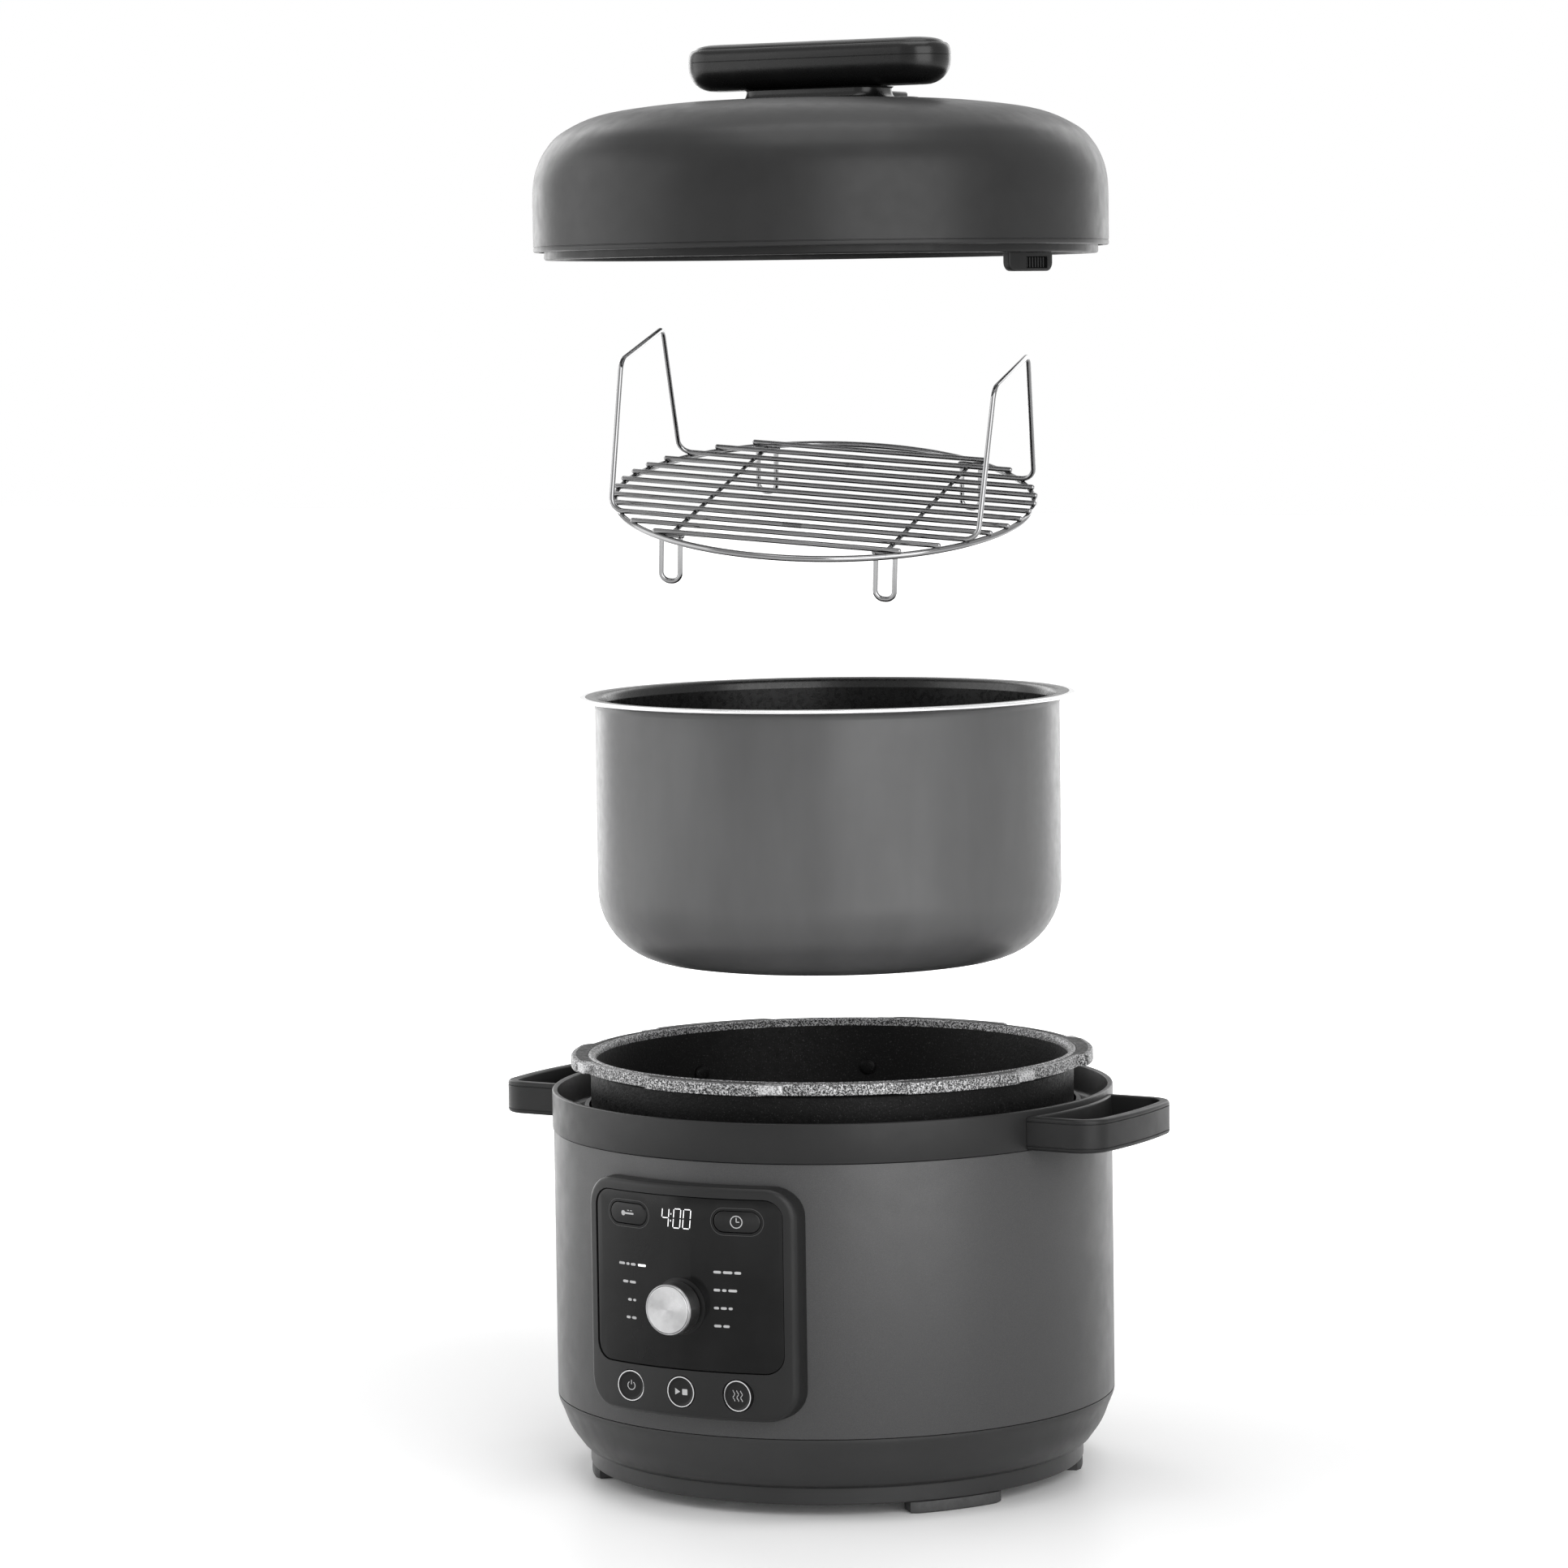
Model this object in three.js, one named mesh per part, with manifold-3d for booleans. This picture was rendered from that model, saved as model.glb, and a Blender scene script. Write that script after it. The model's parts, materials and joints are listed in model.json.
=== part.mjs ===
// Electric pressure cooker, taken apart in a column: base, inner pot, wire rack and lid.
// Millimetres, +Z up, origin on the floor under the middle of the base, control panel facing -Y.
import * as THREE from 'three';
import { mergeVertices } from 'three/addons/utils/BufferGeometryUtils.js';
import Module from 'manifold-3d';

const wasm = await Module();
wasm.setup();

// Clearances and facet counts
const GAP = 0.3;
const FLOAT_CLEARANCE = 0.5;
const BIG = 32;
const MEDIUM = 16;
const SMALL = 8;
const WIRE_SIDES = 6;
const BEND_STEPS = 3;
const DEG = Math.PI / 180;

// Base
const BODY_R = 145;
const SHELL_WALL = 1;
const FOOT_HEIGHT = 6.4;
const FOOT_ANGLES = [31, 149, 211, 329];
const FOOT_HALF_ARC = 12;
const FOOT_DEPTH = 14;
const STEP_R = 128.5;
const STEP_HEIGHT = 8.6;
const SKIRT_WALL = 2.6;
const SEAM_Z = 43;
const COLLAR_Z = 181;
const COLLAR_HEIGHT = 20;
const COLLAR_WALL = 3;
const COLLAR_PROUD = 0.5;
const CHANNEL_Z = 185.5;
const SPIGOT_DEPTH = 8;
const COVER_THICKNESS = 2.4;
const COVER_SCREW_R = 3;
const COVER_SCREW_CIRCLE_R = 110;
const COVER_SCREW_ANGLES = [90, 180, 270, 0];

// Cast outer pot with its locking lugs
const LINER_INNER_R = 122.5;
const LINER_WALL = 2.8;
const LINER_FLOOR_Z = 72;
const LINER_CORNER = 16;
const FLANGE_TOP_Z = 219;
const FLANGE_THICKNESS = 6;
const FLANGE_R = 131;
const LUG_R = 135.5;
const FLANGE_BEVEL = 3;
const LUG_COUNT = 6;
const LUG_HALF_ANGLE = 15;
const LUG_START_ANGLE = 30;

// Heating plate, element and sprung probe
const PLATE_R = 86;
const PLATE_THICKNESS = 12;
const PLATE_SHOULDER = 9;
const PROBE_R = 13;
const PROBE_TRAVEL = 3;
const SPRING_WIRE_R = 0.6;
const SPRING_R = 8.4;
const SPRING_TURNS = 4;
const ELEMENT_R = 58;
const ELEMENT_TUBE_R = 4;

// Side handles
const HANDLE_REACH = 181;
const HANDLE_HALF_WIDTH = 46;
const HANDLE_CORNER = 15;
const HANDLE_BOTTOM_Z = 181;
const HANDLE_HEIGHT = 17;
const HANDLE_RIM = 8;
const HANDLE_FLOOR = 3;
const REST_SLOT_X = 161;

// Control panel
const PANEL_FACE_R = 155;
const PANEL_HALF_WIDTH = 60;
const PANEL_BOTTOM_Z = 53;
const PANEL_HEIGHT = 117;
const PANEL_CORNER = 15;
const PANEL_TAPER = 3;
const LENS_BORDER = 5.5;
const LENS_BOTTOM_Z = 77;
const LENS_THICKNESS = 2;
const DIAL_Z = 109;
const DIAL_R = 13;
const DIAL_FACE_R = 166.8;
const DIAL_CAP_R = 12.2;
const DIAL_CAP_DEPTH = 1.2;
const DIAL_STEM_R = 3;
const BUTTON_R = 8;
const BUTTON_Z = 66;
const BUTTON_X = 31;
const BUTTON_TRAVEL = 1.2;
const PILL_WIDTH = 24;
const PILL_HEIGHT = 10.5;
const PILL_Z = 153;
const PILL_X = 31.5;
const KEY_THICKNESS = 4;
const BOARD_DEPTH = 14;
const BOARD_THICKNESS = 1.6;
const WINDOW_HALF_WIDTH = 15;
const WINDOW_HALF_HEIGHT = 9;

// Rear fittings
const INLET_Z = 68;
const INLET_HALF_HEIGHT = 13.5;
const INLET_HALF_WIDTH = 16.5;
const INLET_DEPTH = 18;
const INLET_WALL = 3.5;
const INLET_FLOOR = 4;
const INLET_PIN_LENGTH = 11;
const CUP_Z = 130;
const CUP_HEIGHT = 36;
const CUP_HALF_WIDTH = 22;
const CUP_WALL = 1.6;

// Inner pot
const POT_R = 120;
const POT_WALL = 2;
const POT_HEIGHT = 137;
const POT_CORNER = 38;
const POT_LIP_R = 128;
const POT_LIP_THICKNESS = 1.8;
const POT_REST_Z = 267.3;

// Wire rack
const RACK_R = 108;
const RING_WIRE_R = 1.6;
const BAR_WIRE_R = 1.35;
const BAR_COUNT = 13;
const FRONT_BAR_OFFSET = -88;
const LOOP_BAR_INDEX = 2;
const LOOP_HEIGHT = 75;
const LOOP_TOP_HALF = 35;
const LOOP_X = 98;
const LEG_X = 56;
const LEG_HEIGHT = 25;
const LEG_HALF_WIDTH = 5;
const RACK_REST_Z = 478;
const RACK_TILT = 14;
const RACK_TURN = 14;
const RACK_HINGE_ANGLE = -70;
const RACK_FRONT_ARC_HALF_ANGLE = 12;
const RACK_OFFSET = 3.3;

// Lid
const LID_REST_Z = 632.5;
const LID_R = 147.5;
const LID_HEIGHT = 76.5;
const LID_WALL_HEIGHT = 23;
const LID_WALL = 3;
const RIM_OUTER_R = 142;
const RIM_INNER_R = 136.4;
const RIM_DROP = 4;
const LID_LUG_HALF_ANGLE = 11.4;
const LID_LUG_INNER_R = 132.3;
const LID_LUG_Z = 3;
const LID_LUG_THICKNESS = 5;
const PRESSURE_PLATE_THICKNESS = 2;
const PRESSURE_PLATE_EDGE_Z = 24.6;
const PRESSURE_PLATE_RISE = 17.4;
const SEAL_INNER_R = 116;
const TAB_ANGLE = -12;
const TAB_HALF_WIDTH = 17;
const TAB_DROP = 13.5;
const GRIP_LENGTH = 149;
const GRIP_WIDTH = 36;
const GRIP_HEIGHT = 21;
const GRIP_CLEAR = 5.5;
const GRIP_CAP_HEIGHT = 4;
const NECK_LENGTH = 76;
const NECK_WIDTH = 30;
const NECK_FLARE = 6;
const NECK_SCREW_X = [-26, 26];
const NECK_SCREW_R = 1.9;
const VALVE_Y = 80;
const VALVE_R = 13;
const VENT_R = 5;
const VENT_BORE_R = 1.8;
const FLOAT_X = 52;
const FLOAT_Y = 62;
const FLOAT_R = 3;

const material = (color, roughness, metalness) =>
  new THREE.MeshStandardMaterial({ color, roughness, metalness });
const PLASTIC = [0x2b2b2c, 0.6, 0];
const DARK_PLASTIC = [0x1a1a1b, 0.55, 0];
const PAINTED_STEEL = [0x4b4b4d, 0.45, 0.4];
const STEEL = [0xc4c4c6, 0.25, 1];
const CAST = [0x19191a, 0.7, 0.3];
const ALUMINIUM = [0xb4b4b6, 0.4, 1];
const POT_COAT = [0x58585a, 0.4, 0.5];
const GLASSY = [0x0c0c0d, 0.1, 0];
const RUBBER = [0x3b3b3c, 0.9, 0];
const BOARD = [0x1f4a33, 0.6, 0];

// ---- solids ---------------------------------------------------------------------------------

function toSolid(geometry) {
  const bare = geometry.index ? geometry.toNonIndexed() : geometry.clone();
  bare.deleteAttribute('normal');
  bare.deleteAttribute('uv');
  const merged = mergeVertices(bare, 1e-4);
  const corners = merged.index.array;
  const kept = [];
  for (let i = 0; i < corners.length; i += 3) {
    const [a, b, c] = [corners[i], corners[i + 1], corners[i + 2]];
    if (a !== b && b !== c && a !== c) kept.push(a, b, c);
  }
  const positions = merged.attributes.position.array;
  if (signedVolume(positions, kept) < 0) {
    for (let i = 0; i < kept.length; i += 3) [kept[i + 1], kept[i + 2]] = [kept[i + 2], kept[i + 1]];
  }
  const vertProperties = Float32Array.from(positions);
  const triVerts = Uint32Array.from(kept);
  return new wasm.Manifold(new wasm.Mesh({ numProp: 3, vertProperties, triVerts }));
}

function signedVolume(positions, corners) {
  let total = 0;
  for (let i = 0; i < corners.length; i += 3) {
    const [a, b, c] = [0, 1, 2].map((k) => new THREE.Vector3().fromArray(positions, 3 * corners[i + k]));
    total += a.dot(b.cross(c));
  }
  return total;
}

function toGeometry(solid) {
  const mesh = solid.getMesh();
  const geometry = new THREE.BufferGeometry();
  geometry.setAttribute('position', new THREE.BufferAttribute(Float32Array.from(mesh.vertProperties), 3));
  geometry.setIndex(new THREE.BufferAttribute(Uint32Array.from(mesh.triVerts), 1));
  geometry.computeVertexNormals();
  return geometry;
}

const join = (...solids) => solids.reduce((whole, next) => whole.add(next));
const cut = (solid, ...tools) => tools.reduce((whole, tool) => whole.subtract(tool), solid);

// A profile of [radius, z] pairs turned about Z; it closes on itself or ends on the axis.
function turned(profile, segments = BIG) {
  const points = profile.map(([r, z]) => new THREE.Vector2(r, z));
  if (profile[0][0] > 0) points.push(points[0].clone());
  return toSolid(new THREE.LatheGeometry(points, segments).rotateX(Math.PI / 2));
}

const ring = (inner, outer, z0, z1, segments = BIG) =>
  turned([[inner, z0], [outer, z0], [outer, z1], [inner, z1]], segments);

const disc = (radius, z0, z1, segments = MEDIUM) =>
  turned([[0, z0], [radius, z0], [radius, z1], [0, z1]], segments);

function box(x0, x1, y0, y1, z0, z1) {
  const geometry = new THREE.BoxGeometry(x1 - x0, y1 - y0, z1 - z0);
  return toSolid(geometry.translate((x0 + x1) / 2, (y0 + y1) / 2, (z0 + z1) / 2));
}

// An arc of [radius, z] points about a centre, angles in degrees.
function arc(centreR, centreZ, radius, from, to, steps) {
  const points = [];
  for (let i = 0; i <= steps; i += 1) {
    const angle = (from + ((to - from) * i) / steps) * DEG;
    points.push([centreR + radius * Math.cos(angle), centreZ + radius * Math.sin(angle)]);
  }
  return points;
}

// A flat outline in X and Y, extruded from z0 to z1.
function slab(shape, z0, z1, curveSegments = 3) {
  const settings = { depth: z1 - z0, bevelEnabled: false, curveSegments };
  return toSolid(new THREE.ExtrudeGeometry(shape, settings).translate(0, 0, z0));
}

function roundedRectangle(width, height, radius) {
  const [x, y] = [width / 2, height / 2];
  const shape = new THREE.Shape();
  shape.moveTo(-x + radius, -y);
  shape.lineTo(x - radius, -y);
  shape.absarc(x - radius, -y + radius, radius, -Math.PI / 2, 0, false);
  shape.lineTo(x, y - radius);
  shape.absarc(x - radius, y - radius, radius, 0, Math.PI / 2, false);
  shape.lineTo(-x + radius, y);
  shape.absarc(-x + radius, y - radius, radius, Math.PI / 2, Math.PI, false);
  shape.lineTo(-x, -y + radius);
  shape.absarc(-x + radius, -y + radius, radius, Math.PI, 1.5 * Math.PI, false);
  return shape;
}

// A ring sector between two angles in degrees.
function sector(inner, outer, fromAngle, toAngle, z0, z1, curveSegments = 2) {
  const shape = new THREE.Shape();
  shape.absarc(0, 0, outer, fromAngle * DEG, toAngle * DEG, false);
  shape.absarc(0, 0, inner, toAngle * DEG, fromAngle * DEG, true);
  return slab(shape, z0, z1, curveSegments);
}

// A curve that passes through a list of points in equal steps.
class Route extends THREE.Curve {
  constructor(points) {
    super();
    this.points = points;
  }

  getPoint(t) {
    const place = t * (this.points.length - 1);
    const i = Math.min(Math.floor(place), this.points.length - 2);
    return this.points[i].clone().lerp(this.points[i + 1], place - i);
  }

  getPointAt(t) {
    return this.getPoint(t);
  }

  getTangentAt(t) {
    const i = Math.round(t * (this.points.length - 1));
    const before = this.points[Math.max(i - 1, 0)];
    const after = this.points[Math.min(i + 1, this.points.length - 1)];
    return after.clone().sub(before).normalize();
  }
}

function tube(points, radius, sides = WIRE_SIDES) {
  const circle = new THREE.Shape();
  circle.absarc(0, 0, radius, 0, 2 * Math.PI, false);
  const settings = { steps: points.length - 1, extrudePath: new Route(points), curveSegments: sides / 2 };
  return toSolid(new THREE.ExtrudeGeometry(circle, settings));
}

// A round wire along straight runs whose corners are rounded off by a bend.
function wire(points, radius, bend) {
  const route = [points[0].clone()];
  for (let i = 1; i < points.length - 1; i += 1) {
    const corner = points[i];
    const enter = corner.clone().addScaledVector(points[i - 1].clone().sub(corner).normalize(), bend);
    const leave = corner.clone().addScaledVector(points[i + 1].clone().sub(corner).normalize(), bend);
    route.push(...new THREE.QuadraticBezierCurve3(enter, corner, leave).getPoints(BEND_STEPS));
  }
  route.push(points[points.length - 1].clone());
  return tube(route, radius);
}

// A horizontal cylinder facing -Y, from depth y0 to depth y1.
function boss(x, z, radius, y0, y1, segments = SMALL) {
  const geometry = new THREE.CylinderGeometry(radius, radius, y1 - y0, segments);
  return toSolid(geometry.translate(x, (y0 + y1) / 2, z));
}

// ---- base -----------------------------------------------------------------------------------

const collarTopZ = COLLAR_Z + COLLAR_HEIGHT;
const shellInnerR = BODY_R - SHELL_WALL;
const linerOuterR = LINER_INNER_R + LINER_WALL;
const flangeBottomZ = FLANGE_TOP_Z - FLANGE_THICKNESS;
const plateTopZ = LINER_FLOOR_Z + PLATE_THICKNESS;
const plateUnderZ = LINER_FLOOR_Z - LINER_WALL - 3;
const coverZ = FOOT_HEIGHT + GAP;
const coverTopZ = coverZ + COVER_THICKNESS;
const coverR = STEP_R - SKIRT_WALL - GAP;
const panelTopZ = PANEL_BOTTOM_Z + PANEL_HEIGHT;
const spigotR = shellInnerR - GAP;

// The upright block that the whole panel occupies, as an outline seen from the front.
function panelBlock(inset, y0, y1, bottomZ = PANEL_BOTTOM_Z, topZ = panelTopZ) {
  const radius = Math.max(PANEL_CORNER - inset, 3);
  const width = 2 * (PANEL_HALF_WIDTH - inset);
  const shape = roundedRectangle(width, topZ - bottomZ - 2 * inset, radius);
  const block = new THREE.ExtrudeGeometry(shape, { depth: y1 - y0, bevelEnabled: false, curveSegments: 3 });
  return toSolid(block.rotateX(Math.PI / 2).translate(0, y1, (bottomZ + topZ) / 2));
}

function baseShell() {
  const shell = ring(shellInnerR, BODY_R, SEAM_Z, COLLAR_Z - GAP);
  const opening = panelBlock(PANEL_TAPER + 5, -BODY_R - 5, -BODY_R / 2);
  const side = INLET_HALF_WIDTH + GAP;
  const rise = INLET_HALF_HEIGHT + GAP;
  const inlet = box(-side, side, BODY_R - 12, BODY_R + 5, INLET_Z - rise, INLET_Z + rise);
  return cut(shell, opening, inlet);
}

function baseSkirt() {
  const seat = SEAM_Z - GAP;
  const ledgeZ = coverTopZ + GAP;
  return turned([
    [STEP_R - SKIRT_WALL, FOOT_HEIGHT], [STEP_R, FOOT_HEIGHT], [STEP_R, FOOT_HEIGHT + STEP_HEIGHT],
    [STEP_R + 4.5, FOOT_HEIGHT + STEP_HEIGHT + 3], [138.8, 26.3], [142.3, 34.7], [BODY_R, seat],
    [spigotR, seat], [spigotR, seat + SPIGOT_DEPTH], [spigotR - SKIRT_WALL, seat + SPIGOT_DEPTH],
    [spigotR - SKIRT_WALL, seat - 2], [135.5, 27.5], [128, 19],
    [STEP_R - 24, ledgeZ + 3], [STEP_R - 24, ledgeZ], [STEP_R - SKIRT_WALL, ledgeZ],
  ]);
}

function bottomCover() {
  let cover = disc(coverR, coverZ, coverTopZ, BIG);
  for (let i = -2; i <= 2; i += 1) {
    cover = cut(cover, box(i * 14 - 2.5, i * 14 + 2.5, -70, -28, coverZ - 1, coverTopZ + 1));
  }
  const screwHole = disc(COVER_SCREW_R + GAP, coverZ - 1, coverTopZ + 1, SMALL);
  for (const angle of COVER_SCREW_ANGLES) {
    cover = cut(cover, onCircle(screwHole, COVER_SCREW_CIRCLE_R, angle));
  }
  return cover;
}

function onCircle(solid, radius, angle) {
  return solid.translate([radius * Math.cos(angle * DEG), radius * Math.sin(angle * DEG), 0]);
}

function foot(angle) {
  const inner = STEP_R - FOOT_DEPTH;
  const outer = STEP_R - 0.5;
  const pad = sector(inner, outer, angle - FOOT_HALF_ARC, angle + FOOT_HALF_ARC, 0, FOOT_HEIGHT - GAP);
  const half = FOOT_HALF_ARC * 0.5;
  return cut(pad, sector(inner + 3, inner + 7, angle - half, angle + half, -1, 1.5));
}

// Pan-head screw standing in the bottom cover, its head below and its shank up against the ledge.
function coverScrew() {
  const head = disc(COVER_SCREW_R + 2, coverZ - GAP - 2, coverZ - GAP, SMALL);
  const slot = box(-0.6, 0.6, -4, 4, coverZ - GAP - 3, coverZ - GAP - 1.2);
  return cut(join(head, disc(COVER_SCREW_R, coverZ - GAP - 0.5, coverTopZ, SMALL)), slot);
}

function topCollar() {
  const outer = BODY_R + COLLAR_PROUD;
  const inner = outer - COLLAR_WALL;
  const neckInner = linerOuterR + 2 * GAP;
  const floorUnder = CHANNEL_Z - 2.5;
  return turned([
    [neckInner, floorUnder], [spigotR - SKIRT_WALL, floorUnder],
    [spigotR - SKIRT_WALL, COLLAR_Z - SPIGOT_DEPTH], [spigotR, COLLAR_Z - SPIGOT_DEPTH],
    [spigotR, COLLAR_Z], [outer, COLLAR_Z], [outer, collarTopZ - 0.8], [outer - 0.8, collarTopZ],
    [inner + 0.4, collarTopZ], [inner, collarTopZ - 1], [inner - 0.6, CHANNEL_Z],
    [neckInner + 2.5, CHANNEL_Z], [neckInner + 2.5, CHANNEL_Z + 7], [neckInner, CHANNEL_Z + 7],
  ]);
}

function handleShape(inset) {
  const half = HANDLE_HALF_WIDTH - inset;
  const reach = HANDLE_REACH - inset;
  const corner = Math.max(HANDLE_CORNER - inset, 5);
  const bodyR = BODY_R + COLLAR_PROUD + GAP + (inset > 0 ? 3 : 0);
  const startAngle = Math.asin(half / bodyR);
  const shape = new THREE.Shape();
  shape.moveTo(bodyR * Math.cos(startAngle), -half);
  shape.lineTo(reach - corner - 3, -half);
  shape.absarc(reach - corner - 3, -half + corner, corner, -Math.PI / 2, -0.15, false);
  shape.quadraticCurveTo(reach + 2, 0, reach - 3 - corner + corner * Math.cos(0.15), half - corner * 0.85);
  shape.absarc(reach - corner - 3, half - corner, corner, 0.15, Math.PI / 2, false);
  shape.lineTo(bodyR * Math.cos(startAngle), half);
  shape.absarc(0, 0, bodyR, startAngle, -startAngle, true);
  return shape;
}

// A side handle: a D-shaped loop around a deep well, with a slot in its floor for the lid's rest tab.
function sideHandle() {
  const top = HANDLE_BOTTOM_Z + HANDLE_HEIGHT;
  const floorZ = HANDLE_BOTTOM_Z + HANDLE_FLOOR;
  const loop = slab(handleShape(0), HANDLE_BOTTOM_Z, top);
  const well = slab(handleShape(HANDLE_RIM), floorZ, top + 1);
  const slotHalf = TAB_HALF_WIDTH + 3;
  const slot = box(REST_SLOT_X - 4, REST_SLOT_X + 4, -slotHalf, slotHalf, HANDLE_BOTTOM_Z - 1, floorZ + 1);
  return cut(loop, well, slot);
}

function cookerLiner() {
  const outside = arc(LINER_INNER_R - LINER_CORNER, LINER_FLOOR_Z + LINER_CORNER,
    LINER_CORNER + LINER_WALL, -90, 0, 3);
  const inside = arc(LINER_INNER_R - LINER_CORNER, LINER_FLOOR_Z + LINER_CORNER, LINER_CORNER, 0, -90, 3);
  const body = turned([
    [PLATE_R + 3, LINER_FLOOR_Z - LINER_WALL], ...outside, [linerOuterR, flangeBottomZ],
    [FLANGE_R, flangeBottomZ], [FLANGE_R, FLANGE_TOP_Z - 1], [FLANGE_R - 1, FLANGE_TOP_Z],
    [LINER_INNER_R + FLANGE_BEVEL, FLANGE_TOP_Z], [LINER_INNER_R, FLANGE_TOP_Z - FLANGE_BEVEL], ...inside,
    [PLATE_R + 3, LINER_FLOOR_Z],
  ]);
  let liner = body;
  for (let i = 0; i < LUG_COUNT; i += 1) {
    const middle = LUG_START_ANGLE + (360 / LUG_COUNT) * i;
    const lug = sector(LINER_INNER_R + FLANGE_BEVEL + 1, LUG_R, middle - LUG_HALF_ANGLE,
      middle + LUG_HALF_ANGLE, flangeBottomZ, FLANGE_TOP_Z, 3);
    liner = join(liner, lug);
  }
  return liner;
}

function heatingPlate() {
  return turned([
    [PROBE_R + 2.5, plateUnderZ], [PLATE_R, plateUnderZ], [PLATE_R, LINER_FLOOR_Z + GAP],
    [PLATE_R + PLATE_SHOULDER, LINER_FLOOR_Z + GAP], [PLATE_R + PLATE_SHOULDER, LINER_FLOOR_Z + 3.5],
    [PLATE_R, LINER_FLOOR_Z + 4], [PLATE_R - 2, plateTopZ], [PROBE_R + 2.5, plateTopZ],
  ]);
}

// Tubular element clamped under the heating plate, with two cold ends turned down.
function heatingElement() {
  const z = plateUnderZ - GAP - ELEMENT_TUBE_R;
  const path = new THREE.EllipseCurve(0, 0, ELEMENT_R, ELEMENT_R, 100 * DEG, 440 * DEG, false);
  const points = path.getPoints(20).map((p) => new THREE.Vector3(p.x, p.y, z));
  const ends = [points[1], points[points.length - 2]].map((p) =>
    tube([p.clone(), p.clone().setZ(z - 18)], ELEMENT_TUBE_R * 0.7));
  return join(tube(points, ELEMENT_TUBE_R), ...ends);
}

const probeTopZ = plateTopZ + GAP;
const probeFlangeZ = plateUnderZ - PROBE_TRAVEL - 8;
const springTopZ = probeFlangeZ - GAP;
const springBottomZ = springTopZ - 14;
const cupFloorZ = springBottomZ - GAP;

function temperatureProbe() {
  return turned([
    [0, probeFlangeZ], [PROBE_R - 1, probeFlangeZ], [PROBE_R - 1, probeFlangeZ + 3],
    [PROBE_R - 3, probeFlangeZ + 3], [PROBE_R - 3, probeTopZ - 10],
    [PROBE_R, probeTopZ - 8], [PROBE_R, probeTopZ - 1],
    [PROBE_R - 1, probeTopZ], [0, probeTopZ],
  ], MEDIUM);
}

function probeSpring() {
  const low = springBottomZ + SPRING_WIRE_R;
  const high = springTopZ - SPRING_WIRE_R;
  const steps = SPRING_TURNS * 8;
  const points = [];
  for (let i = 0; i <= steps; i += 1) {
    const angle = (2 * Math.PI * SPRING_TURNS * i) / steps;
    const z = low + ((high - low) * i) / steps;
    points.push(new THREE.Vector3(SPRING_R * Math.cos(angle), SPRING_R * Math.sin(angle), z));
  }
  return tube(points, SPRING_WIRE_R, 4);
}

// Cup under the heating plate that carries the spring.
function probeCup() {
  const topZ = plateUnderZ - GAP;
  return turned([
    [0, cupFloorZ - 2], [PROBE_R + 3, cupFloorZ - 2], [PROBE_R + 3, topZ - 2], [PROBE_R + 9, topZ - 2],
    [PROBE_R + 9, topZ], [PROBE_R + 1, topZ], [PROBE_R + 1, cupFloorZ], [0, cupFloorZ],
  ], MEDIUM);
}

function thermalFuse() {
  const topZ = plateUnderZ - GAP;
  return join(box(28, 46, -7, 7, topZ - 2, topZ), box(31, 43, -4, 4, topZ - 9, topZ - 1));
}

// ---- control panel --------------------------------------------------------------------------

// Part of the round panel face between two radii, kept inside a block seen from the front.
function faceLayer(innerR, outerR, outline) {
  const wedge = sector(innerR, outerR, 270 - 28, 270 + 28, PANEL_BOTTOM_Z - 2, panelTopZ + 2, 6);
  return wedge.intersect(outline);
}

const lensR = PANEL_FACE_R - 0.5;
const keyFaceY = (x, radius) => -Math.sqrt(radius * radius - x * x);

function lensOutline(inset) {
  const bottomZ = LENS_BOTTOM_Z - LENS_BORDER;
  return panelBlock(LENS_BORDER + inset, -PANEL_FACE_R - 5, -BODY_R / 2, bottomZ, panelTopZ);
}

function dialHole(extra) {
  return boss(0, DIAL_Z, 5 + extra, -PANEL_FACE_R - 5, -PANEL_FACE_R / 2);
}

function roundKeyHoles(extra) {
  const xs = [-BUTTON_X, 0, BUTTON_X];
  const [y0, y1] = [-PANEL_FACE_R - 5, -PANEL_FACE_R / 2];
  return join(...xs.map((x) => boss(x, BUTTON_Z, BUTTON_R + extra, y0, y1, 24)));
}

function pill(x, extra, y0, y1) {
  const [width, height] = [PILL_WIDTH + 2 * extra, PILL_HEIGHT + 2 * extra];
  const shape = roundedRectangle(width, height, height / 2 - 0.01);
  const block = new THREE.ExtrudeGeometry(shape, { depth: y1 - y0, bevelEnabled: false, curveSegments: 3 });
  return toSolid(block.rotateX(Math.PI / 2).translate(x, y1, PILL_Z));
}

const pillHoles = (extra) =>
  join(...[-PILL_X, PILL_X].map((x) => pill(x, extra, -PANEL_FACE_R - 5, -PANEL_FACE_R / 2)));

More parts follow.
